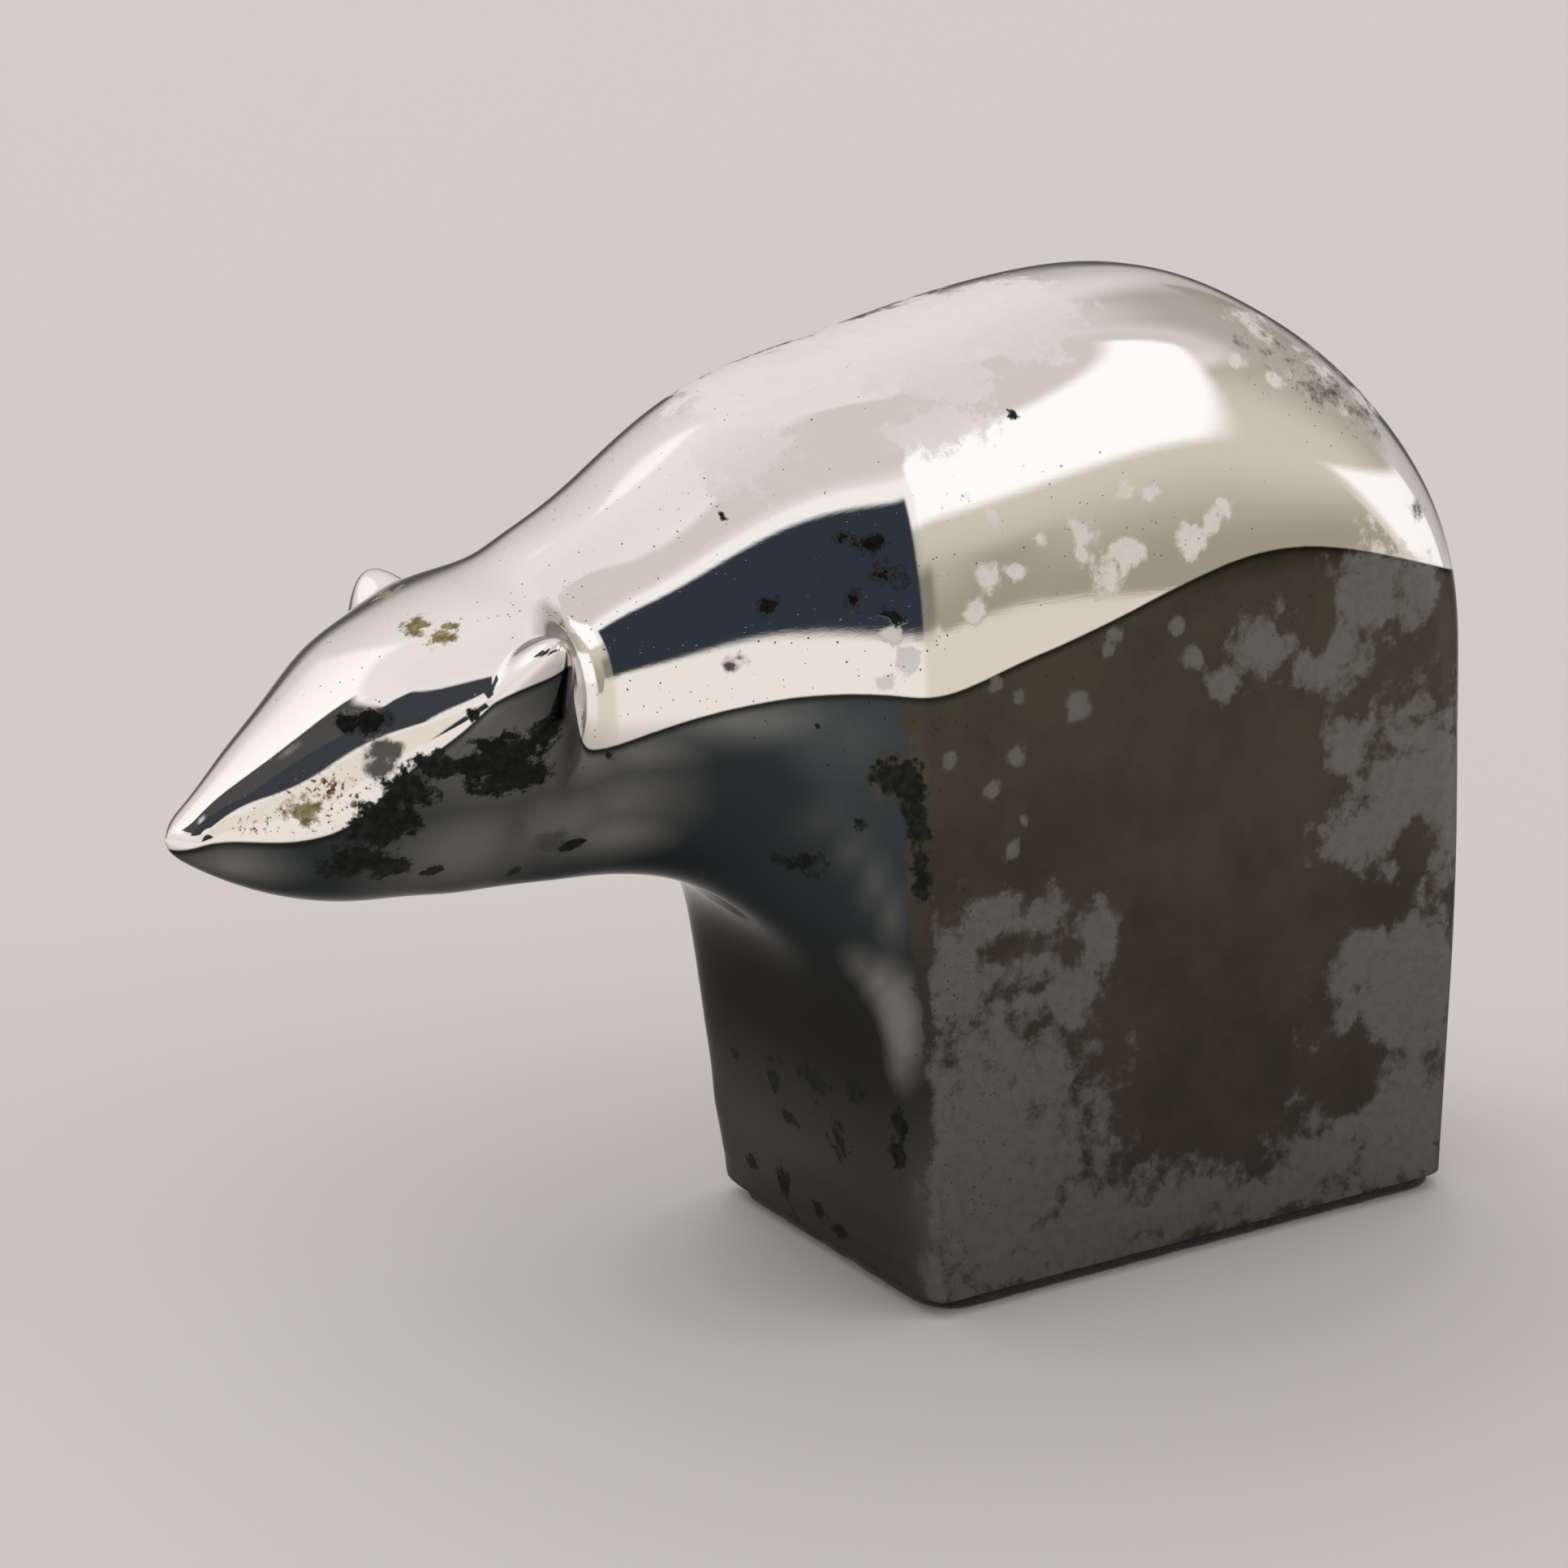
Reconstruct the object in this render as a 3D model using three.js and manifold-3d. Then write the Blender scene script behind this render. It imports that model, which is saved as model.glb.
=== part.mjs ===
// Polar bear paperweight: a hollow plated casting with its ballast, cover plate and felt pad.
// Millimetres, +Z up. The bear looks along -X and stands on the felt's underside at Z = 0.

import * as THREE from 'three';
import { mergeVertices } from 'three/addons/utils/BufferGeometryUtils.js';
import Module from 'manifold-3d';

// Body: lengths run from the foot of the front face, heights from the casting's flat base
const BODY_WIDTH = 28;
const BODY_LENGTH = 44.7;
const REAR_BULGE = 0.75;
const BACK_HEIGHT = 63.9;

// Head and neck
const NOSE_REACH = 44.5;
const NOSE_HEIGHT = 35;
const CHEEK_WIDTH = 23;
const NECK_WIDTH = 17.8;
const NECK_UNDERSIDE = 28.7;
const NAPE_HEIGHT = 49.6;
const SHOULDER_CREASE_BLEND = 0.35;

// Ears: rounded lobes at the rear corners of the head
const EAR_BEHIND_NOSE = 19.3;
const EAR_ABOVE_NOSE = 10.2;
const EAR_SPACING = 23.2;
const EAR_LENGTH = 4.2;
const EAR_THICKNESS = 4.6;
const EAR_HEIGHT = 3.8;

// Hollow of the casting
const SIDE_WALL = 4.5;
const CROWN_WALL = 13;
const HOLLOW_FRONT_RADIUS = 8;
const HOLLOW_REAR_RADIUS = 20;

// Ballast, cover plate and felt
const FIT = 0.3;
const BEDDING_SIDE = 4;
const BEDDING_COVER = 9;
const SLUG_CORNER = 2;
const PLATE_THICKNESS = 1.5;
const PLATE_LEDGE = 1.6;
const PLATE_CORNER = 2;
const FELT_THICKNESS = 1.2;
const FELT_INSET = 0.8;
const FELT_CORNER = 3;

// Fineness of the casting's facets
const STEPS_PER_RING = 3;
const SIDE_STEPS = 22;
const ROUND_SAMPLES = 60;
const BEND_LENGTH = 10;
const ROUNDS_SHARE = 0.98;
const EAR_SEGMENTS = 16;
const EAR_RINGS = 12;
const CORNER_SEGMENTS = 8;

// Places worked out from the sizes above
const NOSE_X = -NOSE_REACH;
const BODY_HALF = BODY_WIDTH / 2;
const CHEEK_HALF = CHEEK_WIDTH / 2;
const NECK_HALF = NECK_WIDTH / 2;
const HOLLOW_FRONT = SIDE_WALL;
const HOLLOW_REAR = BODY_LENGTH - SIDE_WALL;
const HOLLOW_HALF = BODY_HALF - SIDE_WALL;
const HOLLOW_TOP = BACK_HEIGHT - CROWN_WALL;
const CENTRE_SHIFT = (NOSE_REACH - BODY_LENGTH - REAR_BULGE) / 2;

// The casting is a run of rings from the nose, along the neck and round to the base.
// Each ring joins a point of the upper outline to one of the lower outline:
// upper x and z, lower x and z, then the length and squareness of its upper and lower rounds.
const RINGS = [
  // Nose and muzzle
  [NOSE_X, NOSE_HEIGHT, NOSE_X, NOSE_HEIGHT, 0.1, 2, 0.1, 2],
  [NOSE_X + 0.4, NOSE_HEIGHT + 0.65, NOSE_X + 0.4, NOSE_HEIGHT - 0.9, 0.8, 2.1, 0.8, 2],
  [NOSE_X + 1.8, NOSE_HEIGHT + 1.95, NOSE_X + 1.8, NOSE_HEIGHT - 2, 2.1, 2.3, 2, 1.9],
  [NOSE_X + 4.5, NOSE_HEIGHT + 4.35, NOSE_X + 4.7, NOSE_HEIGHT - 3.6, 4.3, 2.45, 4, 1.8],
  // Brow, cheeks and ears
  [NOSE_X + 7.8, NOSE_HEIGHT + 7.1, NOSE_X + 8.2, NECK_UNDERSIDE + 1.4, 6.2, 2.5, 6, 1.7],
  [NOSE_X + 11.1, NOSE_HEIGHT + 9.8, NOSE_X + 11.6, NECK_UNDERSIDE + 0.7, 6, 2.35, 9.8, 1.6],
  [NOSE_X + 14.4, NOSE_HEIGHT + 11.6, NOSE_X + 14.9, NECK_UNDERSIDE + 0.4, 5.2, 2, 12.7, 1.5],
  [NOSE_X + 17.5, NOSE_HEIGHT + 12.9, NOSE_X + 17.8, NECK_UNDERSIDE + 0.1, 4.4, 1.75, 15.3, 1.5],
  [NOSE_X + 20.1, NOSE_HEIGHT + 13.7, NOSE_X + 20.2, NECK_UNDERSIDE, 4.5, 1.7, 16.2, 1.5],
  // Nape and neck
  [NOSE_X + 22.4, NAPE_HEIGHT, NOSE_X + 22.4, NECK_UNDERSIDE, 7.2, 1.9, 13.8, 1.7],
  [-19.5, NAPE_HEIGHT + 1.3, -19.7, NECK_UNDERSIDE, 9.8, 2.3, 12.4, 2],
  [-15.4, NAPE_HEIGHT + 3.5, -16.4, NECK_UNDERSIDE - 0.2, 12.2, 2.4, 12.4, 2],
  [-10.6, BACK_HEIGHT - 7.5, -12.6, NECK_UNDERSIDE - 0.9, 15.8, 2.4, 12.8, 2.1],
  // Withers and back above, the hollow of the chest below
  [-5.3, BACK_HEIGHT - 4.9, -9.2, NECK_UNDERSIDE - 2.4, 20.3, 2.5, 11.6, 2.3],
  [1, BACK_HEIGHT - 3.3, -6.4, NECK_UNDERSIDE - 4.6, 24.1, 2.5, 8.7, 3],
  [8.2, BACK_HEIGHT - 1.6, -4.3, NECK_UNDERSIDE - 7.5, 27, 2.5, 6.8, 3.6],
  [16.4, BACK_HEIGHT - 0.1, -3.1, NECK_UNDERSIDE - 10.9, 28, 2.5, 5.2, 4.2],
  // Croup and rump above, the front face below
  [BODY_LENGTH - 19.6, BACK_HEIGHT, -2.3, 14.1, 27, 2.5, 4.2, 4.8],
  [BODY_LENGTH - 12.1, BACK_HEIGHT - 2.8, -1.7, 10.6, 23, 2.6, 3.7, 5.2],
  [BODY_LENGTH - 6.3, BACK_HEIGHT - 6.9, -1.2, 7.7, 17.4, 2.8, 3.3, 5.6],
  [BODY_LENGTH - 1.8, BACK_HEIGHT - 13, -0.9, 5.3, 11.5, 3.2, 2.9, 6],
  [BODY_LENGTH + 0.5, BACK_HEIGHT - 20.4, -0.6, 3.5, 8, 3.5, 2.9, 6],
  // Rear face, down to the base
  [BODY_LENGTH + REAR_BULGE, 34.6, -0.4, 2.1, 6.3, 3.6, 2.9, 6],
  [BODY_LENGTH + REAR_BULGE, 23.2, -0.2, 1.2, 4.8, 3.8, 2.9, 6.5],
  [BODY_LENGTH + REAR_BULGE / 2, 11.6, -0.1, 0.5, 4.3, 4, 2.9, 7],
  [BODY_LENGTH, 0, 0, 0, 4.3, 4, 2.9, 7],
];

// Half width of the head and neck seen from above: x, then half width
const PLAN = [
  [NOSE_X, 0],
  [NOSE_X + 0.5, 1.2],
  [NOSE_X + 1.9, 2.4],
  [NOSE_X + 4.7, 4.4],
  [NOSE_X + 7.8, 6.4],
  [NOSE_X + 11.2, 8.3],
  [NOSE_X + 14.4, CHEEK_HALF - 1.6],
  [NOSE_X + 17.5, CHEEK_HALF - 0.4],
  [NOSE_X + 19.4, CHEEK_HALF],
  [NOSE_X + 21, CHEEK_HALF - 0.5],
  [NOSE_X + 22.7, NECK_HALF + 0.7],
  [-19.9, NECK_HALF],
  [-16.4, NECK_HALF + 0.6],
  [-11.6, BODY_HALF - 3.2],
  [-6.8, BODY_HALF - 1.9],
  [-2.9, BODY_HALF - 0.75],
  [0, BODY_HALF + 0.1],
];

const wasm = await Module();
wasm.setup();

// A curve through rows of values, each row at its own position
function curveThrough(positions, rows) {
  return new THREE.CubicInterpolant(positions, rows.flat(), rows[0].length);
}

const ringCurve = curveThrough(RINGS.map((row, index) => index), RINGS);
const planCurve = curveThrough(PLAN.map((row) => row[0]), PLAN.map((row) => [row[1]]));

// The smaller of two values, with the corner between them rounded off
function roundedMinimum(first, second, blend) {
  const overlap = Math.max(blend - Math.abs(first - second), 0);
  return Math.min(first, second) - overlap ** 2 / (4 * blend);
}

// Half width at x: the neck widens up to the crease of the shoulder, and the flanks behind it are flat
function halfWidth(x) {
  const [creaseX, creaseHalf] = PLAN.at(-1);
  const [beforeX, beforeHalf] = PLAN.at(-2);
  if (x <= beforeX) {
    return planCurve.evaluate(Math.max(x, NOSE_X))[0];
  }
  const slope = (creaseHalf - beforeHalf) / (creaseX - beforeX);
  return roundedMinimum(beforeHalf + slope * (x - beforeX), BODY_HALF, SHOULDER_CREASE_BLEND);
}

// Points spread along a curve, closer together where it bends
function spreadPoints(curve, steps) {
  const marks = [0];
  const heading = new THREE.Vector3();
  const stride = new THREE.Vector3();
  for (let index = 1; index < curve.length; index += 1) {
    stride.subVectors(curve[index], curve[index - 1]);
    const turn = index > 1 ? heading.angleTo(stride) : 0;
    marks.push(marks[index - 1] + stride.length() + BEND_LENGTH * turn);
    heading.copy(stride);
  }
  const spread = [curve[0]];
  let index = 1;
  for (let step = 1; step < steps; step += 1) {
    const mark = (marks.at(-1) * step) / steps;
    while (marks[index] < mark) {
      index += 1;
    }
    const share = (mark - marks[index - 1]) / (marks[index] - marks[index - 1]);
    spread.push(new THREE.Vector3().lerpVectors(curve[index - 1], curve[index], share));
  }
  spread.push(curve.at(-1));
  return spread;
}

// One side of a ring, from the upper outline to the lower one, at -Y
function ringSide(position) {
  const [upperX, upperZ, lowerX, lowerZ, upperReach, upperSquare, lowerReach, lowerSquare]
    = ringCurve.evaluate(position);
  const span = Math.hypot(upperX - lowerX, upperZ - lowerZ);
  const shrink = Math.min(1, (span / (upperReach + lowerReach)) * ROUNDS_SHARE);
  const curve = [];

  function addPoint(rise, share) {
    const x = THREE.MathUtils.lerp(lowerX, upperX, rise / span);
    const z = THREE.MathUtils.lerp(lowerZ, upperZ, rise / span);
    curve.push(new THREE.Vector3(x, -halfWidth(x) * share, z));
  }

  for (let step = 0; step <= ROUND_SAMPLES; step += 1) {
    const angle = (step / ROUND_SAMPLES) * (Math.PI / 2);
    const fall = 1 - Math.abs(Math.cos(angle)) ** (2 / upperSquare);
    addPoint(span - upperReach * shrink * fall, Math.sin(angle) ** (2 / upperSquare));
  }
  for (let step = ROUND_SAMPLES; step >= 0; step -= 1) {
    const angle = (step / ROUND_SAMPLES) * (Math.PI / 2);
    const rise = 1 - Math.abs(Math.cos(angle)) ** (2 / lowerSquare);
    addPoint(lowerReach * shrink * rise, Math.sin(angle) ** (2 / lowerSquare));
  }
  return spreadPoints(curve, SIDE_STEPS);
}

// The outer skin: rings joined by strips, closed by a point at the nose and by the flat base
function bearSkin() {
  const around = 2 * SIDE_STEPS;
  const ringCount = (RINGS.length - 1) * STEPS_PER_RING;
  const points = [new THREE.Vector3(NOSE_X, 0, NOSE_HEIGHT)];
  const faces = [];

  for (let ring = 1; ring <= ringCount; ring += 1) {
    const near = ringSide(ring / STEPS_PER_RING);
    near[0].y = 0;
    near[SIDE_STEPS].y = 0;
    const far = near.slice(1, SIDE_STEPS).reverse();
    points.push(...near, ...far.map((point) => new THREE.Vector3(point.x, -point.y, point.z)));
  }

  const vertex = (ring, turn) => (ring === 0 ? 0 : 1 + (ring - 1) * around + (turn % around));
  for (let ring = 0; ring < ringCount; ring += 1) {
    for (let turn = 0; turn < around; turn += 1) {
      const corner = vertex(ring + 1, turn);
      const opposite = vertex(ring, turn + 1);
      faces.push(opposite, vertex(ring + 1, turn + 1), corner);
      if (ring > 0) {
        faces.push(vertex(ring, turn), opposite, corner);
      }
    }
  }
  for (let turn = 0; turn < SIDE_STEPS; turn += 1) {
    const near = vertex(ringCount, turn);
    const far = vertex(ringCount, around - turn);
    const nextNear = vertex(ringCount, turn + 1);
    const nextFar = vertex(ringCount, around - turn - 1);
    if (nextNear !== nextFar) {
      faces.push(near, nextNear, nextFar);
    }
    if (near !== far) {
      faces.push(near, nextFar, far);
    }
  }

  const geometry = new THREE.BufferGeometry().setFromPoints(points);
  geometry.setIndex(faces);
  return geometry;
}

// One rounded ear lobe on the given side of the head
function earLobe(side) {
  const lobe = new THREE.SphereGeometry(0.5, EAR_SEGMENTS, EAR_RINGS);
  lobe.scale(EAR_LENGTH, EAR_THICKNESS, EAR_HEIGHT);
  return lobe.translate(NOSE_X + EAR_BEHIND_NOSE, (side * EAR_SPACING) / 2, NOSE_HEIGHT + EAR_ABOVE_NOSE);
}

// A block with the arched outline of the hollow, drawn in by a gap on every side and standing on a level
function archedBlock(gap, level) {
  const front = HOLLOW_FRONT + gap;
  const rear = HOLLOW_REAR - gap;
  const top = HOLLOW_TOP - gap;
  const frontRadius = HOLLOW_FRONT_RADIUS - gap;
  const rearRadius = HOLLOW_REAR_RADIUS - gap;
  const half = HOLLOW_HALF - gap;
  const outline = new THREE.Shape();
  outline.moveTo(front, level);
  outline.lineTo(rear, level);
  outline.absarc(rear - rearRadius, top - rearRadius, rearRadius, 0, Math.PI / 2, false);
  outline.absarc(front + frontRadius, top - frontRadius, frontRadius, Math.PI / 2, Math.PI, false);
  const block = new THREE.ExtrudeGeometry(outline, {
    depth: 2 * half,
    bevelEnabled: false,
    curveSegments: CORNER_SEGMENTS,
  });
  return block.rotateX(Math.PI / 2).translate(0, half, 0);
}

// An upright slab with rounded corners, between two levels
function roundedSlab(front, rear, half, radius, bottom, top) {
  const outline = new THREE.Shape();
  outline.absarc(rear - radius, half - radius, radius, 0, Math.PI / 2, false);
  outline.absarc(front + radius, half - radius, radius, Math.PI / 2, Math.PI, false);
  outline.absarc(front + radius, radius - half, radius, Math.PI, 1.5 * Math.PI, false);
  outline.absarc(rear - radius, radius - half, radius, 1.5 * Math.PI, 2 * Math.PI, false);
  const slab = new THREE.ExtrudeGeometry(outline, {
    depth: top - bottom,
    bevelEnabled: false,
    curveSegments: CORNER_SEGMENTS,
  });
  return slab.translate(0, 0, bottom);
}

// The seat of the cover plate, drawn in by a gap on every side
function plateSlab(gap, bottom, top) {
  return roundedSlab(
    HOLLOW_FRONT - PLATE_LEDGE + gap,
    HOLLOW_REAR + PLATE_LEDGE - gap,
    HOLLOW_HALF + PLATE_LEDGE - gap,
    PLATE_CORNER,
    bottom,
    top,
  );
}

// The ballast slug, or its pocket when it is grown by a gap on every side
function slugSlab(gap, bottom) {
  const inset = FIT + BEDDING_SIDE - gap;
  return roundedSlab(
    HOLLOW_FRONT + inset,
    HOLLOW_REAR - inset,
    HOLLOW_HALF - inset,
    SLUG_CORNER + gap,
    bottom,
    HOLLOW_TOP - FIT - BEDDING_COVER + gap,
  );
}

// A solid for joining and cutting, made from a closed geometry
function solidFrom(geometry) {
  geometry.deleteAttribute('normal');
  geometry.deleteAttribute('uv');
  const merged = mergeVertices(geometry);
  return new wasm.Manifold(new wasm.Mesh({
    numProp: 3,
    vertProperties: new Float32Array(merged.attributes.position.array),
    triVerts: new Uint32Array(merged.index.array),
  }));
}

// A named mesh of a solid, standing on top of the felt
function pieceFrom(name, solid, material) {
  const { vertProperties, triVerts } = solid.getMesh();
  const geometry = new THREE.BufferGeometry();
  geometry.setAttribute('position', new THREE.BufferAttribute(vertProperties, 3));
  geometry.setIndex(new THREE.BufferAttribute(triVerts, 1));
  geometry.computeVertexNormals();
  const piece = new THREE.Mesh(geometry, material);
  piece.name = name;
  piece.position.z = FELT_THICKNESS;
  return piece;
}

function makeCasting() {
  const silverPlate = new THREE.MeshStandardMaterial({ color: 0xcfcac2, roughness: 0.12, metalness: 1 });
  const below = -FIT;
  const skin = solidFrom(bearSkin()).add(solidFrom(earLobe(-1))).add(solidFrom(earLobe(1)));
  const hollow = solidFrom(archedBlock(0, below)).add(solidFrom(plateSlab(0, below, PLATE_THICKNESS + FIT)));
  return pieceFrom('bear_casting', skin.subtract(hollow), silverPlate);
}

function makeBedding() {
  const plaster = new THREE.MeshStandardMaterial({ color: 0xd8d2c4, roughness: 0.95, metalness: 0 });
  const floor = PLATE_THICKNESS + FIT;
  const bedding = solidFrom(archedBlock(FIT, floor)).subtract(solidFrom(slugSlab(FIT, floor - FIT)));
  return pieceFrom('ballast_bedding', bedding, plaster);
}

function makeSlug() {
  const castIron = new THREE.MeshStandardMaterial({ color: 0x4b4845, roughness: 0.7, metalness: 0.8 });
  return pieceFrom('ballast_slug', solidFrom(slugSlab(0, PLATE_THICKNESS + FIT)), castIron);
}

function makeCoverPlate() {
  const sheetSteel = new THREE.MeshStandardMaterial({ color: 0x8f8d88, roughness: 0.45, metalness: 0.9 });
  return pieceFrom('cover_plate', solidFrom(plateSlab(FIT, 0, PLATE_THICKNESS)), sheetSteel);
}

function makeFelt() {
  const blackFelt = new THREE.MeshStandardMaterial({ color: 0x171615, roughness: 1, metalness: 0 });
  const felt = roundedSlab(
    FELT_INSET,
    BODY_LENGTH - FELT_INSET,
    BODY_HALF - FELT_INSET,
    FELT_CORNER,
    -FELT_THICKNESS,
    0,
  );
  return pieceFrom('felt_pad', solidFrom(felt), blackFelt);
}

const paperweight = new THREE.Group();
paperweight.add(makeCasting(), makeBedding(), makeSlug(), makeCoverPlate(), makeFelt());
paperweight.position.x = CENTRE_SHIFT;

export default paperweight;
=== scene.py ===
"""Looks of the polar bear paperweight: plated casting, ballast, cover plate and felt pad."""

from __future__ import annotations

import logging
import math
from dataclasses import dataclass, field
from enum import Enum
from typing import Sequence, Union

import bpy
import numpy as np
from mathutils import Matrix


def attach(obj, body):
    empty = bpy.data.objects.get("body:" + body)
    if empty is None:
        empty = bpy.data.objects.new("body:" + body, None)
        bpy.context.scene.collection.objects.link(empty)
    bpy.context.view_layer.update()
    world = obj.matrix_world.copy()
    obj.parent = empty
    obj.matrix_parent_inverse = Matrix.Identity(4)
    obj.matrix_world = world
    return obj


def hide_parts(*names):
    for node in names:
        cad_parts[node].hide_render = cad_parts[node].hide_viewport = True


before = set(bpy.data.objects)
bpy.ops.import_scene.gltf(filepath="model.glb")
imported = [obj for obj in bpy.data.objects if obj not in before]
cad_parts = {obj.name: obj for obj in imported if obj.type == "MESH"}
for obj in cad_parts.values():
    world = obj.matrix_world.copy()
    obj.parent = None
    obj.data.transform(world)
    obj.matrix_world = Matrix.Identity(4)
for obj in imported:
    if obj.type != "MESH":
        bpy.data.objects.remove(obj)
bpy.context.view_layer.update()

LOG = logging.getLogger("paperweight")
MM = 0.001
TINY = 1e-9

# Stains of the far side: where the flank starts, how far the others slide and how strong they are
FLANK_START = 1.0
FAR_SLIDE = 1.5
FAR_SHARE = 0.95

# Inputs of a mixing node for its amount and two numbers or two colours, and its output for a colour
MIX_NUMBERS = (0, 2, 3)
MIX_COLOURS = (0, 6, 7)
MIXED_COLOUR = 2

Place = tuple[float, float, float]
Colour = tuple[float, float, float]
Pair = tuple[float, float]
Feed = Union[bpy.types.NodeSocket, float, Sequence[float]]
Feeds = dict[Union[str, int], Feed]


class Side(Enum):
    """The two sides of the bear, as the sign of Y."""

    LEFT = -1
    RIGHT = 1


class Coat(Enum):
    """What lies on the plate, each held as a named value on the casting's points: real coats, and the
    painted dark and pale reflections of the room.
    """

    # Painted dark reflection of the room, over the lower half of the bear
    PAINTED_DARK_REFLECTION = "painted_dark_reflection"
    WARMTH = "warmth"
    # Painted pale reflections: pale streaks and patches on that painted dark reflection
    THIN = "painted_pale_reflection"
    HAZE = "haze"
    CLEAR = "clear"
    GRIME = "grime"
    TARNISH = "tarnish"
    VERDIGRIS = "verdigris"
    RUST = "rust"
    PRICKS = "pricks"


@dataclass(frozen=True)
class Ring:
    """A slanted section of the casting, in millimetres from the foot of its front face.

    Each round is the length and the squareness of the curve at that end of the ring.
    """

    upper: Pair
    lower: Pair
    upper_round: Pair
    lower_round: Pair

    def row(self) -> tuple[float, ...]:
        """All eight values in one row."""
        return (*self.upper, *self.lower, *self.upper_round, *self.lower_round)


@dataclass(frozen=True)
class Stain:
    """A soft-edged patch on the plate, in the casting's millimetres, half faded at its reach."""

    place: Place
    reach: Place
    amount: float = 1.0

    def cover(self, points: np.ndarray) -> np.ndarray:
        """How much of the stain lies on each point, from 0 to its amount."""
        away = np.linalg.norm((points - self.place) / self.reach, axis=1)
        return self.amount * np.clip(1 - away / 2, 0, 1)

    def far_twin(self, length: float) -> "Stain":
        """A stain like this on the far side, laid out the other way along the flank.

        Args:
            length: Length of the flank.

        Returns:
            The twin.
        """
        x, y, z = self.place
        moved = length - x if x > FLANK_START else x + FAR_SLIDE
        return Stain((moved, -y, z), self.reach, FAR_SHARE * self.amount)


# Rings from the nose, along the neck and round the chest to the base
BEAR_RINGS = (
    Ring((-44.5, 35.0), (-44.5, 35.0), (0.1, 2.0), (0.1, 2.0)),
    Ring((-44.1, 35.65), (-44.1, 34.1), (0.8, 2.1), (0.8, 2.0)),
    Ring((-42.7, 36.95), (-42.7, 33.0), (2.1, 2.3), (2.0, 1.9)),
    Ring((-40.0, 39.35), (-39.8, 31.4), (4.3, 2.45), (4.0, 1.8)),
    Ring((-36.7, 42.1), (-36.3, 30.1), (6.2, 2.5), (6.0, 1.7)),
    Ring((-33.4, 44.8), (-32.9, 29.4), (6.0, 2.35), (9.8, 1.6)),
    Ring((-30.1, 46.6), (-29.6, 29.1), (5.2, 2.0), (12.7, 1.5)),
    Ring((-27.0, 47.9), (-26.7, 28.8), (4.4, 1.75), (15.3, 1.5)),
    Ring((-24.4, 48.7), (-24.3, 28.7), (4.5, 1.7), (16.2, 1.5)),
    Ring((-22.1, 49.6), (-22.1, 28.7), (7.2, 1.9), (13.8, 1.7)),
    Ring((-19.5, 50.9), (-19.7, 28.7), (9.8, 2.3), (12.4, 2.0)),
    Ring((-15.4, 53.1), (-16.4, 28.5), (12.2, 2.4), (12.4, 2.0)),
    Ring((-10.6, 56.4), (-12.6, 27.8), (15.8, 2.4), (12.8, 2.1)),
    Ring((-5.3, 59.0), (-9.2, 26.3), (20.3, 2.5), (11.6, 2.3)),
    Ring((1.0, 60.6), (-6.4, 24.1), (24.1, 2.5), (8.7, 3.0)),
    Ring((8.2, 62.3), (-4.3, 21.2), (27.0, 2.5), (6.8, 3.6)),
    Ring((16.4, 63.76), (-3.1, 17.8), (28.0, 2.5), (5.2, 4.2)),
    Ring((25.1, 63.86), (-2.3, 14.1), (27.0, 2.5), (4.2, 4.8)),
    Ring((32.6, 61.1), (-1.7, 10.6), (23.0, 2.6), (3.7, 5.2)),
    Ring((38.4, 57.0), (-1.2, 7.7), (17.4, 2.8), (3.3, 5.6)),
    Ring((42.9, 50.9), (-0.9, 5.3), (11.5, 3.2), (2.9, 6.0)),
    Ring((45.2, 43.5), (-0.6, 3.5), (8.0, 3.5), (2.9, 6.0)),
    Ring((45.46, 34.6), (-0.4, 2.1), (6.3, 3.6), (2.9, 6.0)),
    Ring((45.4, 23.2), (-0.2, 1.2), (4.8, 3.8), (2.9, 6.5)),
    Ring((45.05, 11.6), (-0.1, 0.5), (4.3, 4.0), (2.9, 7.0)),
    Ring((44.7, 0.0), (0.0, 0.0), (4.3, 4.0), (2.9, 7.0)),
)

# Half width of the head and neck from above: x, then half width
BEAR_PLAN = (
    (-44.5, 0.0),
    (-44.0, 1.2),
    (-42.6, 2.4),
    (-39.8, 4.4),
    (-36.7, 6.4),
    (-33.3, 8.3),
    (-30.1, 9.9),
    (-27.0, 11.1),
    (-25.1, 11.5),
    (-23.5, 11.0),
    (-21.8, 9.6),
    (-19.9, 8.9),
    (-16.4, 9.5),
    (-11.6, 10.8),
    (-6.8, 12.1),
    (-2.9, 13.25),
    (0.0, 14.1),
)

# Top edge of the painted dark reflection, a mirrored dark floor painted over the lower half of the bear: x,
# then height
PAINTED_REFLECTION_LINE = (
    (-44.5, 34.4),
    (-43.3, 34.9),
    (-39.0, 35.2),
    (-36.6, 35.7),
    (-35.4, 36.4),
    (-33.4, 38.5),
    (-31.9, 39.9),
    (-29.7, 41.6),
    (-27.0, 44.0),
    (-24.8, 45.0),
    (-22.9, 43.8),
    (-21.9, 40.4),
    (-20.5, 38.9),
    (-17.0, 39.5),
    (-8.0, 41.0),
    (-2.0, 40.6),
    (0.0, 40.3),
    (6.0, 41.4),
    (12.0, 42.9),
    (16.0, 44.1),
    (20.0, 45.3),
    (27.0, 46.5),
    (35.0, 45.4),
    (42.0, 43.4),
    (45.5, 42.4),
)

# How deep a small spot on the flank reaches, in millimetres
SPOT_DEPTH = 2.5

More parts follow.
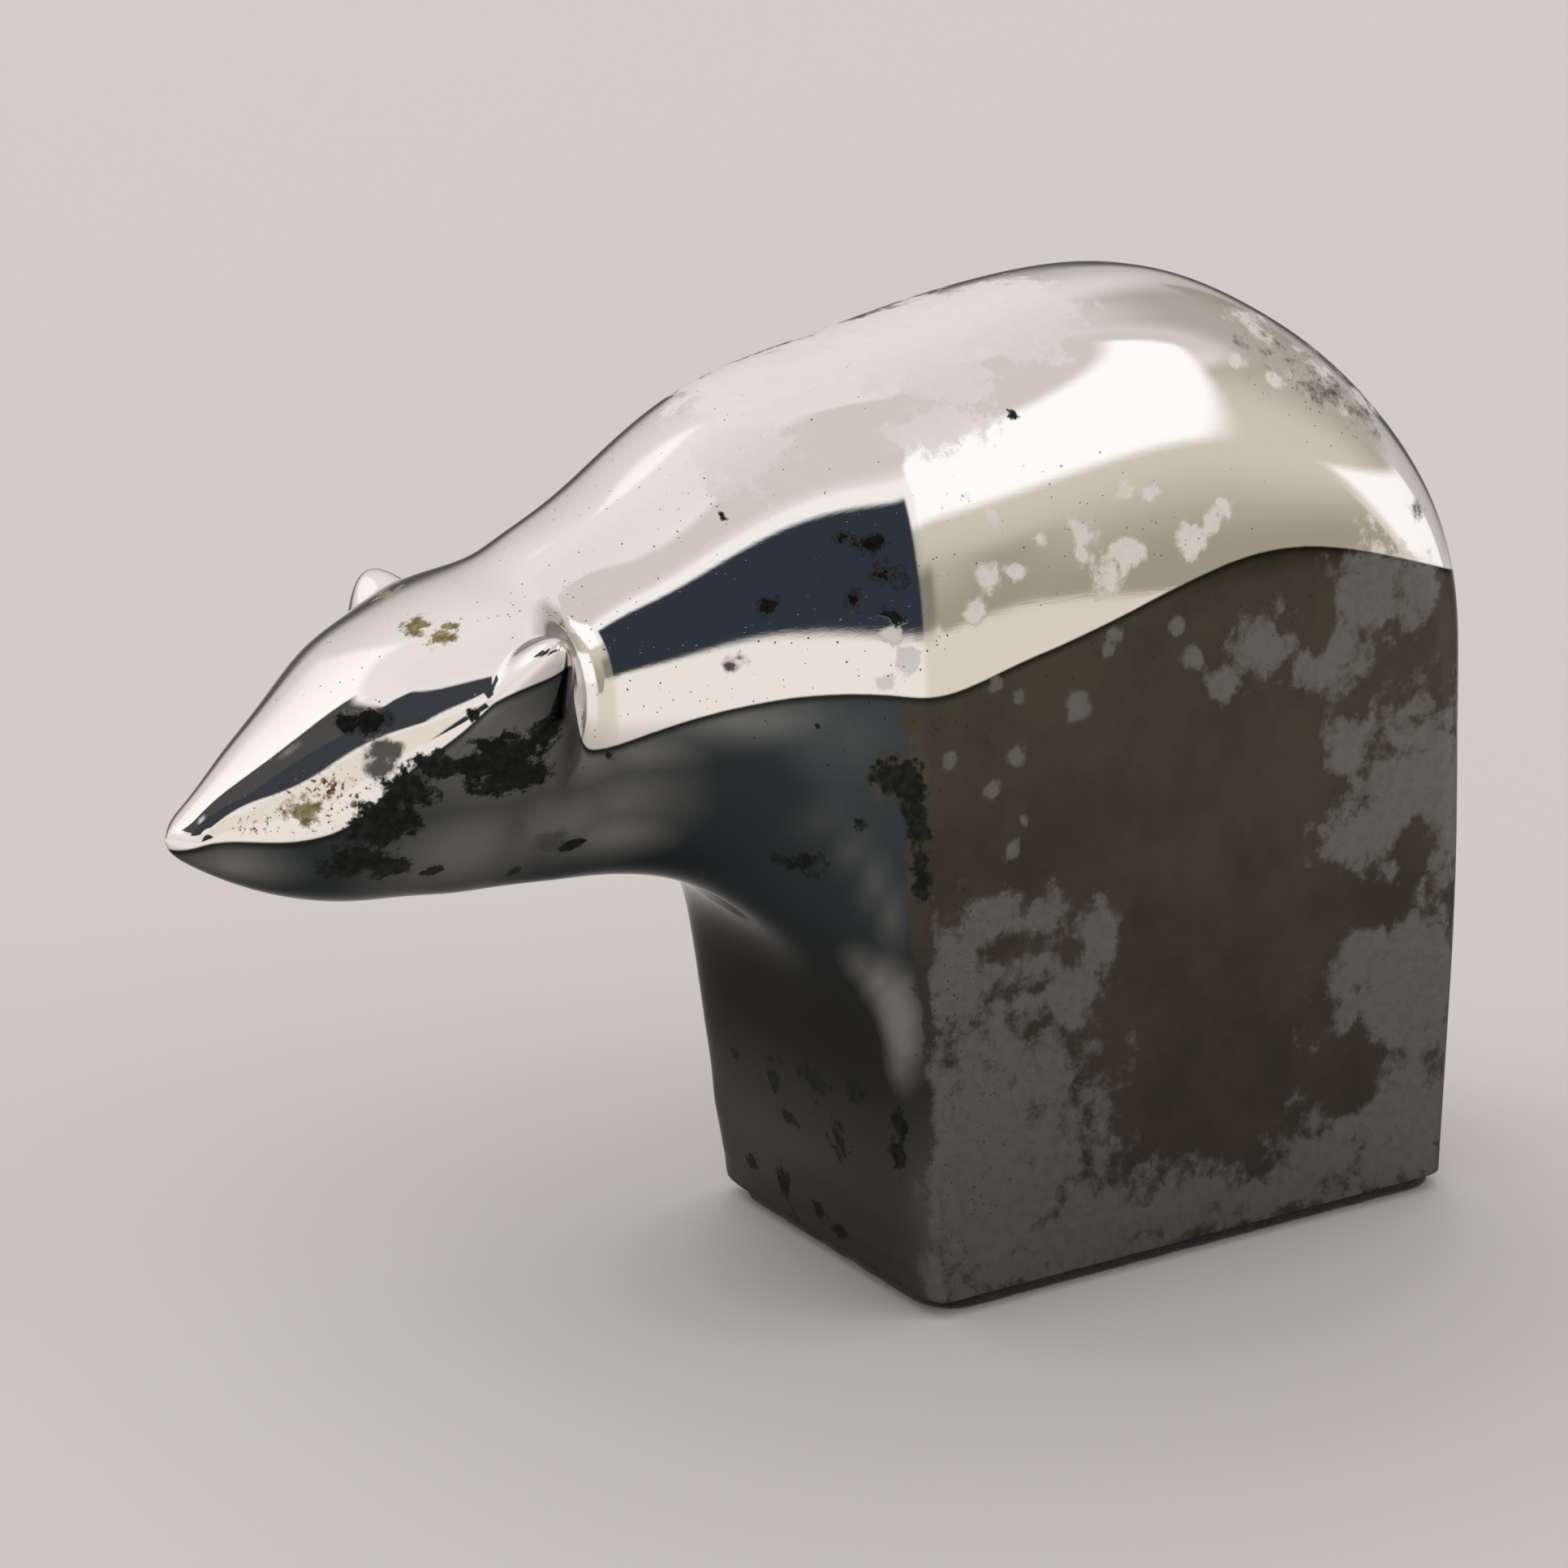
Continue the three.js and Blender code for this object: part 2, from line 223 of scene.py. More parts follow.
# Small pale spots on the flank: x, height and reach
FLANK_SPOTS = (
    (3.6, 45.2, 0.7),
    (4.5, 47.4, 0.75),
    (6.9, 47.4, 0.6),
    (8.7, 49.0, 0.5),
    (5.7, 50.9, 0.6),
    (12.1, 49.2, 1.0),
    (11.5, 47.9, 0.7),
    (15.2, 47.6, 1.0),
    (13.3, 46.1, 1.1),
    (15.6, 51.5, 0.7),
    (17.2, 51.2, 0.7),
    (20.2, 47.9, 1.1),
    (21.6, 48.8, 0.8),
    (22.9, 49.7, 0.7),
    (18.8, 42.5, 0.64),
    (20.2, 40.2, 0.77),
    (14.0, 42.5, 0.59),
    (11.0, 38.3, 0.85),
    (13.5, 41.4, 0.42),
    (6.5, 39.5, 0.42),
    (4.8, 40.5, 0.47),
    (6.5, 35.7, 0.68),
    (4.5, 33.7, 0.59),
    (6.2, 29.6, 0.51),
    (7.0, 31.4, 0.38),
    (1.4, 35.9, 0.59),
)

# Stains on the left side and along the middle, with the clear places inside the haze and the places of the
# painted pale reflections
STAINS: dict[Coat, tuple[Stain, ...]] = {
    Coat.HAZE: (
        Stain((4.3, -14.0, 8.5), (8.0, 4.0, 12.0)),
        Stain((2.2, -14.0, 22.0), (2.8, 3.0, 3.8)),
        Stain((5.2, -14.0, 25.2), (2.4, 3.0, 1.6)),
        Stain((8.6, -14.0, 25.0), (1.7, 3.0, 1.2)),
        Stain((12.6, -14.0, 22.3), (1.6, 3.0, 2.5)),
        Stain((10.8, -14.0, 19.3), (2.3, 3.0, 1.8)),
        Stain((8.0, -14.0, 21.3), (2.4, 3.0, 1.8), 0.62),
        Stain((12.0, -14.0, 2.4), (9.0, 3.0, 3.4)),
        Stain((20.0, -14.0, 2.6), (5.5, 3.0, 2.3)),
        Stain((27.0, -14.0, 1.6), (4.0, 3.0, 1.6)),
        Stain((39.5, -13.5, 4.0), (8.5, 4.0, 5.5)),
        Stain((39.2, -13.5, 14.0), (6.2, 4.0, 6.0)),
        Stain((39.8, -13.5, 28.0), (5.5, 4.0, 6.5)),
        Stain((34.6, -14.0, 26.0), (3.4, 3.0, 2.4)),
        Stain((35.0, -14.0, 17.8), (3.0, 3.0, 2.6)),
        Stain((31.0, -14.0, 3.0), (3.2, 3.0, 3.0)),
        Stain((33.2, -14.0, 32.3), (1.8, 3.0, 2.0)),
        Stain((34.5, -14.0, 42.6), (3.2, 2.5, 3.2)),
        Stain((38.6, -14.0, 42.4), (2.0, 2.5, 2.2)),
        Stain((31.7, -14.0, 38.7), (3.0, 2.5, 2.3)),
        Stain((26.4, -14.0, 40.3), (2.8, 2.5, 2.0)),
        Stain((22.9, -14.0, 38.1), (1.4, 2.5, 1.2)),
        Stain((-22.9, -10.1, 40.4), (1.0, 1.5, 3.0), 1.4),
        Stain((-1.5, -13.5, 42.7), (0.7, 1.2, 0.9)),
        Stain((-2.9, -13.1, 41.5), (0.6, 1.2, 0.5)),
        Stain((-2.0, -13.2, 44.4), (0.6, 1.2, 0.5)),
        Stain((-5.5, 0.0, 59.0), (4.0, 4.5, 3.0), 1.2),
        Stain((3.0, -2.0, 61.0), (8.5, 5.0, 3.0), 1.3),
        Stain((11.0, -4.0, 62.0), (4.5, 4.5, 3.0), 1.2),
        Stain((5.0, -8.2, 59.0), (3.6, 2.0, 2.2), 0.95),
        Stain((3.0, -10.2, 56.3), (3.0, 1.8, 2.2), 0.95),
        Stain((-8.5, -6.5, 55.5), (3.0, 3.0, 3.0), 0.95),
        Stain((29.6, -7.4, 60.3), (3.0, 1.6, 1.6), 0.72),
        Stain((26.3, -10.1, 58.5), (0.7, 0.7, 0.5)),
        Stain((29.1, -10.6, 57.0), (0.6, 0.6, 0.6)),
        Stain((34.5, -8.6, 57.0), (4.0, 3.0, 3.0), 0.55),
        Stain((37.4, -9.4, 54.8), (2.5, 2.5, 2.5), 0.6),
        Stain((45.0, -3.0, 22.0), (4.0, 8.0, 12.0), 0.95),
    ),
    Coat.CLEAR: (
        Stain((-3.4, 0.0, 12.0), (1.3, 16.0, 18.0), 1.4),
        Stain((5.2, -14.0, 23.4), (1.2, 3.0, 0.8), 0.4),
        Stain((34.1, -14.0, 9.2), (1.8, 3.0, 2.0)),
        Stain((39.3, -14.0, 24.6), (1.1, 3.0, 1.5)),
        Stain((31.0, -14.0, 21.0), (2.2, 3.0, 1.8)),
        Stain((36.6, -14.0, 20.9), (1.8, 3.0, 0.9)),
        Stain((30.4, -14.0, 41.0), (0.8, 3.0, 1.4)),
        Stain((27.8, -14.0, 41.4), (0.7, 3.0, 0.5)),
    ),
    Coat.TARNISH: (
        Stain((-32.7, -8.5, 38.1), (1.5, 2.0, 1.3)),
        Stain((-34.0, -7.5, 36.0), (2.2, 2.0, 1.6)),
        Stain((-35.1, -6.1, 33.6), (2.0, 2.0, 1.3)),
        Stain((-32.7, -5.6, 32.8), (1.5, 2.0, 0.9)),
        Stain((-30.9, -9.4, 39.6), (1.5, 2.0, 0.8)),
        Stain((-28.5, -9.8, 39.4), (1.7, 2.0, 1.1)),
        Stain((-26.8, -10.3, 40.0), (2.2, 2.0, 1.3)),
        Stain((-24.9, -10.9, 41.0), (1.5, 2.0, 1.1)),
        Stain((-26.5, -9.6, 38.2), (2.6, 2.0, 1.2)),
        Stain((-29.7, -4.7, 31.8), (0.7, 1.2, 0.6)),
        Stain((-20.9, -6.1, 32.4), (0.8, 1.2, 0.5)),
        Stain((-23.7, -3.7, 30.6), (0.4, 1.0, 0.4)),
        Stain((-34.0, -6.8, 42.1), (1.0, 1.2, 0.8)),
        Stain((-35.1, -5.6, 42.0), (0.7, 1.0, 0.6)),
        Stain((-29.0, -10.4, 42.5), (0.4, 0.8, 0.4)),
        Stain((-9.6, -10.9, 46.7), (0.8, 1.2, 0.8), 0.78),
        Stain((-4.4, -11.5, 50.4), (0.7, 1.2, 0.5), 0.78),
        Stain((-3.1, -11.9, 49.9), (1.2, 1.2, 0.6), 0.78),
        Stain((-2.5, -12.5, 48.3), (1.0, 1.2, 0.8), 0.78),
        Stain((-4.3, -12.3, 46.5), (0.6, 1.0, 0.8), 0.78),
        Stain((-1.2, -13.0, 47.6), (0.6, 1.0, 0.8), 0.78),
        Stain((-2.0, -13.1, 45.5), (1.0, 1.0, 0.6), 0.78),
        Stain((-7.5, -10.7, 30.2), (1.6, 2.0, 0.9), 0.78),
        Stain((-4.3, -12.8, 32.7), (0.5, 1.0, 0.4)),
        Stain((-19.6, -8.7, 38.4), (0.4, 1.0, 0.4), 0.9),
        Stain((-7.0, -12.0, 39.1), (0.25, 0.8, 0.25)),
        Stain((-2.6, -13.3, 35.7), (1.2, 1.2, 1.0)),
        Stain((-1.3, -13.6, 35.0), (1.0, 1.2, 1.6)),
        Stain((-0.9, -13.8, 32.6), (0.8, 1.0, 2.0), 0.95),
        Stain((-0.6, -13.9, 29.3), (0.7, 1.0, 2.0), 0.9),
        Stain((-1.5, -12.6, 12.3), (1.5, 0.7, 1.0)),
        Stain((-1.3, -11.9, 10.1), (1.5, 0.8, 1.2)),
        Stain((-2.0, -2.8, 12.5), (1.5, 1.8, 0.8)),
        Stain((-1.7, 2.8, 10.8), (1.5, 0.8, 0.8)),
        Stain((-1.3, 1.5, 8.3), (1.5, 1.1, 0.5)),
        Stain((-1.8, 8.0, 11.1), (1.2, 0.7, 0.5), 0.9),
        Stain((-0.5, 8.2, 2.9), (1.0, 0.8, 0.6)),
        Stain((-0.5, 3.8, 2.9), (1.0, 0.8, 1.3)),
        Stain((-0.4, -0.7, 2.3), (1.0, 0.8, 0.6)),
        Stain((-0.2, -2.9, 1.4), (1.0, 1.1, 0.6)),
        Stain((-2.1, -8.2, 13.3), (1.5, 1.1, 1.1), 0.85),
        Stain((3.9, -12.2, 52.0), (0.35, 0.8, 0.35)),
        Stain((8.4, -10.5, 56.6), (0.35, 0.8, 0.3)),
        Stain((-11.2, -8.4, 52.0), (0.3, 0.8, 0.3)),
        Stain((45.0, 5.0, 9.0), (1.5, 1.6, 1.8)),
    ),
    Coat.GRIME: (
        Stain((-33.8, -7.7, 40.6), (1.0, 1.2, 0.7)),
        Stain((-34.0, -7.9, 39.5), (0.7, 1.0, 0.6)),
        Stain((-12.0, -10.6, 43.2), (0.7, 1.0, 0.5), 0.75),
        Stain((-11.3, -10.8, 43.6), (0.5, 1.0, 0.4), 0.75),
        Stain((-22.0, -6.2, 32.8), (1.7, 1.6, 0.9), 0.8),
        Stain((29.5, -9.4, 58.4), (3.0, 2.0, 1.6), 0.48),
        Stain((33.5, -10.2, 56.2), (3.5, 2.0, 1.6), 0.52),
        Stain((36.6, -10.6, 53.8), (2.0, 2.0, 1.6), 0.55),
        Stain((39.1, -13.2, 47.8), (1.2, 1.0, 1.6), 0.5),
    ),
    # Painted pale reflections on the painted dark reflection: the jaw, the chest's crescent and the streak
    # along the neck's fold
    Coat.THIN: (
        Stain((-27.0, -10.0, 40.0), (5.0, 4.0, 4.5), 0.75),
        Stain((-27.5, -6.0, 33.0), (4.5, 4.0, 2.8), 1.1),
        Stain((-22.5, -7.0, 34.0), (4.5, 4.0, 2.6), 0.9),
        Stain((-18.5, -8.0, 35.0), (3.5, 4.0, 2.4), 0.7),
        Stain((-12.0, -11.0, 39.6), (5.0, 3.0, 1.2), 0.55),
        Stain((-5.0, -12.5, 38.0), (3.5, 3.0, 2.4), 0.2),
        Stain((-21.4, -9.2, 38.2), (3.0, 2.2, 1.9), 0.85),
        Stain((-17.5, -9.1, 38.2), (3.0, 2.2, 1.2), 0.7),
        Stain((-18.6, -6.7, 32.7), (2.8, 2.2, 1.7), 1.05),
        Stain((-41.5, -2.6, 33.6), (3.0, 2.5, 1.2), 0.75),
        Stain((-6.8, -11.9, 32.9), (1.8, 1.5, 1.6), 0.24),
        Stain((-5.1, -12.6, 30.9), (1.4, 1.2, 1.6), 0.3),
        Stain((-3.7, -13.0, 28.7), (1.1, 1.0, 1.8), 0.34),
        Stain((-2.6, -13.3, 26.5), (0.9, 0.8, 1.8), 0.36),
        Stain((-3.7, -11.7, 23.1), (1.2, 1.2, 1.2), 0.6),
        Stain((-3.0, -12.6, 22.1), (1.2, 1.2, 1.4), 0.9),
        Stain((-2.4, -13.1, 20.9), (1.2, 1.0, 1.6), 1.15),
        Stain((-2.1, -13.3, 19.6), (1.2, 0.9, 1.7), 1.25),
        Stain((-1.9, -13.3, 18.2), (1.2, 0.8, 1.6), 1.1),
        Stain((-1.9, -13.1, 16.6), (1.2, 0.8, 1.4), 0.7),
    ),
    # A patch where the painted dark reflection takes the flank's brown tone
    Coat.WARMTH: (Stain((-2.4, -13.3, 35.6), (1.4, 1.5, 1.6)),),
    Coat.VERDIGRIS: (
        Stain((-29.3, -3.4, 46.6), (0.8, 0.9, 0.8)),
        Stain((-28.8, -5.8, 46.2), (0.7, 0.8, 0.8)),
        Stain((-28.0, -5.2, 46.6), (0.5, 0.6, 0.5), 0.9),
        Stain((-38.0, -5.5, 37.1), (0.9, 1.0, 0.7)),
    ),
    Coat.RUST: (
        Stain((-36.8, -6.2, 38.3), (2.0, 2.2, 1.3), 0.5),
        Stain((-37.8, -5.6, 37.0), (1.6, 1.5, 0.9), 0.52),
        Stain((-40.5, -3.6, 36.2), (2.0, 1.5, 0.8), 0.4),
        Stain((-22.0, -7.8, 47.0), (0.8, 1.2, 0.8), 0.4),
    ),
    Coat.PRICKS: (
        Stain((-15.0, -9.0, 42.5), (7.0, 4.0, 3.0), 0.24),
        Stain((-21.0, -7.5, 46.5), (3.0, 3.0, 2.5), 0.45),
        Stain((-13.0, -4.0, 54.0), (9.0, 6.0, 5.0), 0.12),
        Stain((-31.0, -3.0, 45.5), (8.0, 5.0, 3.0), 0.09),
        Stain((1.6, -14.0, 14.0), (2.0, 3.0, 9.0), 0.45),
        Stain((-37.0, -6.0, 37.2), (4.0, 3.0, 1.8), 0.5),
        Stain((-2.0, -13.0, 43.0), (5.0, 3.0, 6.0), 0.18),
        Stain((-1.0, 0.0, 8.0), (4.0, 14.0, 8.0), 0.12),
        Stain((34.5, -9.5, 56.5), (5.0, 3.5, 3.5), 0.45),
        Stain((12.0, -13.5, 47.0), (12.0, 3.0, 5.0), 0.09),
    ),
}


class SmoothCurve:
    """A natural cubic spline through rows of values, each row at its own position."""

    def __init__(self, positions: Sequence[float], rows: Sequence[Sequence[float]]) -> None:
        """Solves for the bend of the curve at each row.

        Args:
            positions: Where each row stands, rising.
            rows: The values to pass through.
        """
        self.positions = np.asarray(positions, float)
        self.rows = np.asarray(rows, float)
        steps = np.diff(self.positions)
        count = len(self.positions)
        system = np.eye(count)
        pull = np.zeros_like(self.rows)
        slopes = np.diff(self.rows, axis=0) / steps[:, None]
        for index in range(1, count - 1):
            before, after = steps[index - 1], steps[index]
            system[index, index - 1 : index + 2] = before, 2 * (before + after), after
            pull[index] = 6 * (slopes[index] - slopes[index - 1])
        self.bends = np.linalg.solve(system, pull)

    @classmethod
    def through(cls, rows: Sequence[Sequence[float]]) -> "SmoothCurve":
        """A curve through rows that each start with their position."""
        return cls([row[0] for row in rows], [row[1:] for row in rows])

    def at(self, where: np.ndarray) -> np.ndarray:
        """Values of the curve.

        Args:
            where: Positions to read it at.

        Returns:
            One row of values for each position.
        """
        where = np.asarray(where, float)
        index = np.clip(np.searchsorted(self.positions, where) - 1, 0, len(self.positions) - 2)
        step = (self.positions[index + 1] - self.positions[index])[:, None]
        after = (where - self.positions[index])[:, None] / step
        before = 1 - after
        straight = before * self.rows[index] + after * self.rows[index + 1]
        curl = (before**3 - before) * self.bends[index] + (after**3 - after) * self.bends[index + 1]
        return straight + curl * step**2 / 6


def rounded_minimum(first: np.ndarray, second: float, blend: float) -> np.ndarray:
    """The smaller of two values, with the corner between them rounded off."""
    overlap = np.maximum(blend - np.abs(first - second), 0)
    return np.minimum(first, second) - overlap**2 / (4 * blend)


def mesh_object(name: str, points: np.ndarray, faces: Sequence[Sequence[int]]) -> bpy.types.Object:
    """A mesh object at the origin, from points in millimetres.

    Args:
        name: Name of the piece.
        points: One row of x, y and z for each point.
        faces: Corners of each face, turning left seen from outside.

    Returns:
        The object, linked to the scene.
    """
    mesh = bpy.data.meshes.new(name)
    mesh.from_pydata((points * MM).tolist(), [], faces)
    mesh.validate()
    mesh.update()
    made = bpy.data.objects.new(name, mesh)
    bpy.context.scene.collection.objects.link(made)
    return made


def loop_faces(first: Sequence[int], second: Sequence[int]) -> list[tuple[int, ...]]:
    """Quads between two closed loops with the same number of points."""
    count = len(first)
    return [
        (first[i], first[(i + 1) % count], second[(i + 1) % count], second[i]) for i in range(count)
    ]


class Nodes:
    """Short calls for wiring one node tree."""

    noise_roughness: float = 0.66

    def __init__(self, tree: bpy.types.NodeTree) -> None:
        """Keeps the tree that the calls wire."""
        self.tree = tree

    def feed(self, node: bpy.types.Node, feeds: Feeds) -> None:
        """Feeds inputs of a node.

        Args:
            node: The node.
            feeds: For each input, by its name or number, the socket to link to it or the value to set on it.
        """
        for name, value in feeds.items():
            if isinstance(value, bpy.types.NodeSocket):
                self.tree.links.new(value, node.inputs[name])
            else:
                node.inputs[name].default_value = value

    def add(self, kind: str, feeds: Feeds | None = None, **settings: object) -> bpy.types.Node:
        """A new node.

        Args:
            kind: Blender's name for the kind of node.
            feeds: What to feed into its inputs.
            settings: Values to set on the node itself.

        Returns:
            The node.
        """
        node = self.tree.nodes.new(kind)
        for name, value in settings.items():
            setattr(node, name, value)
        self.feed(node, feeds or {})
        return node

    def math(self, operation: str, *values: Feed) -> bpy.types.NodeSocket:
        """The result of one of Blender's operations on numbers."""
        return self.add("ShaderNodeMath", dict(enumerate(values)), operation=operation).outputs[0]

    def step(self, value: Feed, low: Feed, high: Feed) -> bpy.types.NodeSocket:
        """A smooth step from 0, where the value is low, to 1, where it is high."""
        feeds = {"Value": value, "From Min": low, "From Max": high}
        return self.add("ShaderNodeMapRange", feeds, interpolation_type="SMOOTHSTEP").outputs["Result"]

    def blend(self, amount: Feed, first: Feed, second: Feed) -> bpy.types.NodeSocket:
        """A number between two others: the first at an amount of 0, the second at 1."""
        feeds = dict(zip(MIX_NUMBERS, (amount, first, second)))
        return self.add("ShaderNodeMix", feeds, data_type="FLOAT").outputs[0]

    def tint(self, amount: Feed, first: Feed, second: Feed) -> bpy.types.NodeSocket:
        """A colour between two others.

        Args:
            amount: 0 for the first colour, 1 for the second.
            first: One colour.
            second: The other colour.

        Returns:
            The colour between them.
        """
        ends = [end if isinstance(end, bpy.types.NodeSocket) else (*end, 1) for end in (first, second)]
        feeds = dict(zip(MIX_COLOURS, (amount, *ends)))
        return self.add("ShaderNodeMix", feeds, data_type="RGBA").outputs[MIXED_COLOUR]

    def noise(self, where: Feed, fineness: Feed, detail: float = 3.0) -> bpy.types.NodeSocket:
        """A cloudy value about 0.5, with so many clouds to the millimetre and so many finer layers."""
        feeds = {"Vector": where, "Scale": fineness, "Detail": detail, "Roughness": self.noise_roughness}
        return self.add("ShaderNodeTexNoise", feeds).outputs[0]

    def place(self) -> bpy.types.NodeSocket:
        """Where the surface is on the piece, in millimetres."""
        feeds = {0: self.add("ShaderNodeTexCoord").outputs["Object"], "Scale": 1 / MM}
        return self.add("ShaderNodeVectorMath", feeds, operation="SCALE").outputs[0]

    def axes(self, vector: Feed) -> bpy.types.NodeOutputs:
        """The three parts of a vector."""
        return self.add("ShaderNodeSeparateXYZ", {0: vector}).outputs

    def held(self, coat: Coat) -> bpy.types.NodeSocket:
        """How much of a coat the points of the mesh hold."""
        return self.add("ShaderNodeAttribute", attribute_name=coat.value).outputs["Fac"]

    def group(self, tree: bpy.types.NodeTree, **values: Feed) -> bpy.types.NodeSocket:
        """The first output of a shared group, placed here with values for its named inputs."""
        return self.add("ShaderNodeGroup", values, node_tree=tree).outputs[0]


class Effects:
    """Effects of the finishes, each a node group that is made once and then shared."""

    middle: float = 0.5
    least_coverage: float = 0.15
    least_speck: float = 0.3
    speck_core: float = 0.5
    wobble_fineness: float = 4.0

    @staticmethod
    def begin(name: str, output: str, *inputs: str) -> tuple[Nodes, bpy.types.Node, bpy.types.Node]:
        """An empty group with a vector input named Place, number inputs and one number output.

        Args:
            name: Name of the group.
            output: Name of its output.
            inputs: Names of its number inputs.

        Returns:
            The wiring calls, the group's input node and its output node.
        """
        tree = bpy.data.node_groups.new(name, "ShaderNodeTree")
        tree.interface.new_socket("Place", in_out="INPUT", socket_type="NodeSocketVector")
        for label in inputs:
            tree.interface.new_socket(label, in_out="INPUT", socket_type="NodeSocketFloat")
        tree.interface.new_socket(output, in_out="OUTPUT", socket_type="NodeSocketFloat")
        nodes = Nodes(tree)
        return nodes, nodes.add("NodeGroupInput"), nodes.add("NodeGroupOutput")

    @classmethod
    def ragged_patch(cls) -> bpy.types.NodeTree:
        """Cuts a soft coverage into a patch with a ragged edge.

        Returns:
            The group.
        """
        name = "ragged_patch"
        if name in bpy.data.node_groups:
            return bpy.data.node_groups[name]
        nodes, given, result = cls.begin(name, "Mask", "Coverage", "Fineness", "Raggedness", "Softness")
        coverage, softness = given.outputs["Coverage"], given.outputs["Softness"]
        cloud = nodes.noise(given.outputs["Place"], given.outputs["Fineness"], detail=8.0)
        about_zero = nodes.math("SUBTRACT", cloud, cls.middle)
        stir = nodes.math("MULTIPLY", about_zero, given.outputs["Raggedness"])
        low = nodes.math("SUBTRACT", cls.middle, softness)
        high = nodes.math("ADD", cls.middle, softness)
        edge = nodes.step(nodes.math("ADD", coverage, stir), low, high)
        inside = nodes.step(coverage, 0.0, cls.least_coverage)
        nodes.feed(result, {0: nodes.math("MULTIPLY", inside, edge)})
        return nodes.tree

    @classmethod
    def specks(cls) -> bpy.types.NodeTree:
        """Scatters small uneven specks, more of them where the density is high.

        Returns:
            The group.
        """
        name = "specks"
        if name in bpy.data.node_groups:
            return bpy.data.node_groups[name]
        nodes, given, result = cls.begin(name, "Mask", "Density", "Fineness", "Size")
        place, fineness = given.outputs["Place"], given.outputs["Fineness"]
        cells = nodes.add("ShaderNodeTexVoronoi", {"Vector": place, "Scale": fineness})
        lot = nodes.add("ShaderNodeSeparateColor", {0: cells.outputs["Color"]})
        share = nodes.math("ADD", lot.outputs[0], cls.least_speck)
        size = nodes.math("MULTIPLY", given.outputs["Size"], share)
        wobble = nodes.noise(place, nodes.math("MULTIPLY", fineness, cls.wobble_fineness))
        stretch = nodes.math("ADD", wobble, cls.middle)
        away = nodes.math("MULTIPLY", cells.outputs["Distance"], stretch)
        dot = nodes.step(away, size, nodes.math("MULTIPLY", size, cls.speck_core))
        taken = nodes.math("LESS_THAN", lot.outputs[1], given.outputs["Density"])
        nodes.feed(result, {0: nodes.math("MULTIPLY", dot, taken)})
        return nodes.tree

    @classmethod
    def hairlines(cls) -> bpy.types.NodeTree:
        """Fine scratches from wiping, running mostly along the piece.

        Returns:
            The group.
        """
        name = "hairlines"
        if name in bpy.data.node_groups:
            return bpy.data.node_groups[name]
        nodes, given, result = cls.begin(name, "Height", "Fineness", "Stretch")
        shrink = nodes.math("DIVIDE", 1.0, given.outputs["Stretch"])
        drawn = nodes.add("ShaderNodeCombineXYZ", {0: shrink, 1: 1.0, 2: 1.0})
        feeds = {0: given.outputs["Place"], 1: drawn.outputs[0]}
        along = nodes.add("ShaderNodeVectorMath", feeds, operation="MULTIPLY")
        nodes.feed(result, {0: nodes.noise(along.outputs[0], given.outputs["Fineness"], detail=2.0)})
        return nodes.tree


@dataclass(frozen=True)
class Finish:
    """A finish: its name and how it is wired."""

    name: str

    def wire(self, nodes: Nodes, shader: bpy.types.Node) -> None:
        """Wires the finish into the shader, which each finish does in its own way."""
        raise NotImplementedError

    def roughen(self, nodes: Nodes, shader: bpy.types.Node, height: Feed, depth: float) -> None:
        """Turns a height into bumps.

        Args:
            nodes: Calls for the material's tree.
            shader: The shader to bump.
            height: The height, from 0 to 1.
            depth: How deep 1 is, in millimetres.
        """
        bump = nodes.add("ShaderNodeBump", {"Distance": depth * MM, "Height": height})
        nodes.feed(shader, {"Normal": bump.outputs[0]})

    def material(self) -> bpy.types.Material:
        """The finish as a material.

        Returns:
            The material.
        """
        made = bpy.data.materials.new(self.name)
        made.use_nodes = True
        self.wire(Nodes(made.node_tree), made.node_tree.nodes["Principled BSDF"])
        return made


@dataclass(frozen=True)
class Cut:
    """How the edge of a coat breaks up.

    The fineness is in clouds to the millimetre. The raggedness is how far the clouds push the edge, and the
    softness is half the width of its fade, both as shares of the coat.
    """

    fineness: float
    raggedness: float
    softness: float


# Edges of the coats on the plate, and of the painted dark and pale reflections
CUTS: dict[Coat, Cut] = {
    Coat.PAINTED_DARK_REFLECTION: Cut(0.25, 0.25, 0.12),
    Coat.WARMTH: Cut(0.5, 1.2, 0.08),
    Coat.THIN: Cut(0.12, 0.25, 0.55),
    Coat.HAZE: Cut(0.5, 1.9, 0.18),
    Coat.GRIME: Cut(0.8, 1.5, 0.2),
    Coat.TARNISH: Cut(1.1, 1.5, 0.1),
    Coat.VERDIGRIS: Cut(1.4, 2.2, 0.2),
    Coat.RUST: Cut(2.6, 2.2, 0.12),
}

# Roughness of the coats that hide the plate, from the lowest to the topmost
ROUGHNESS: dict[Coat, float] = {
    Coat.GRIME: 0.4,
    Coat.TARNISH: 0.35,
    Coat.RUST: 0.6,
    Coat.VERDIGRIS: 0.8,
    Coat.PRICKS: 0.5,
}

# How metallic the plate still looks under a coat
METAL_LEFT: dict[Coat, float] = {Coat.TARNISH: 0.75, Coat.VERDIGRIS: 0.1}

# How far a coat rises from the plate, or is sunk into it, as a share of the relief
RELIEF: dict[Coat, float] = {
    Coat.HAZE: -0.04,
    Coat.TARNISH: 0.04,
    Coat.VERDIGRIS: 0.6,
    Coat.PRICKS: -0.1,
}


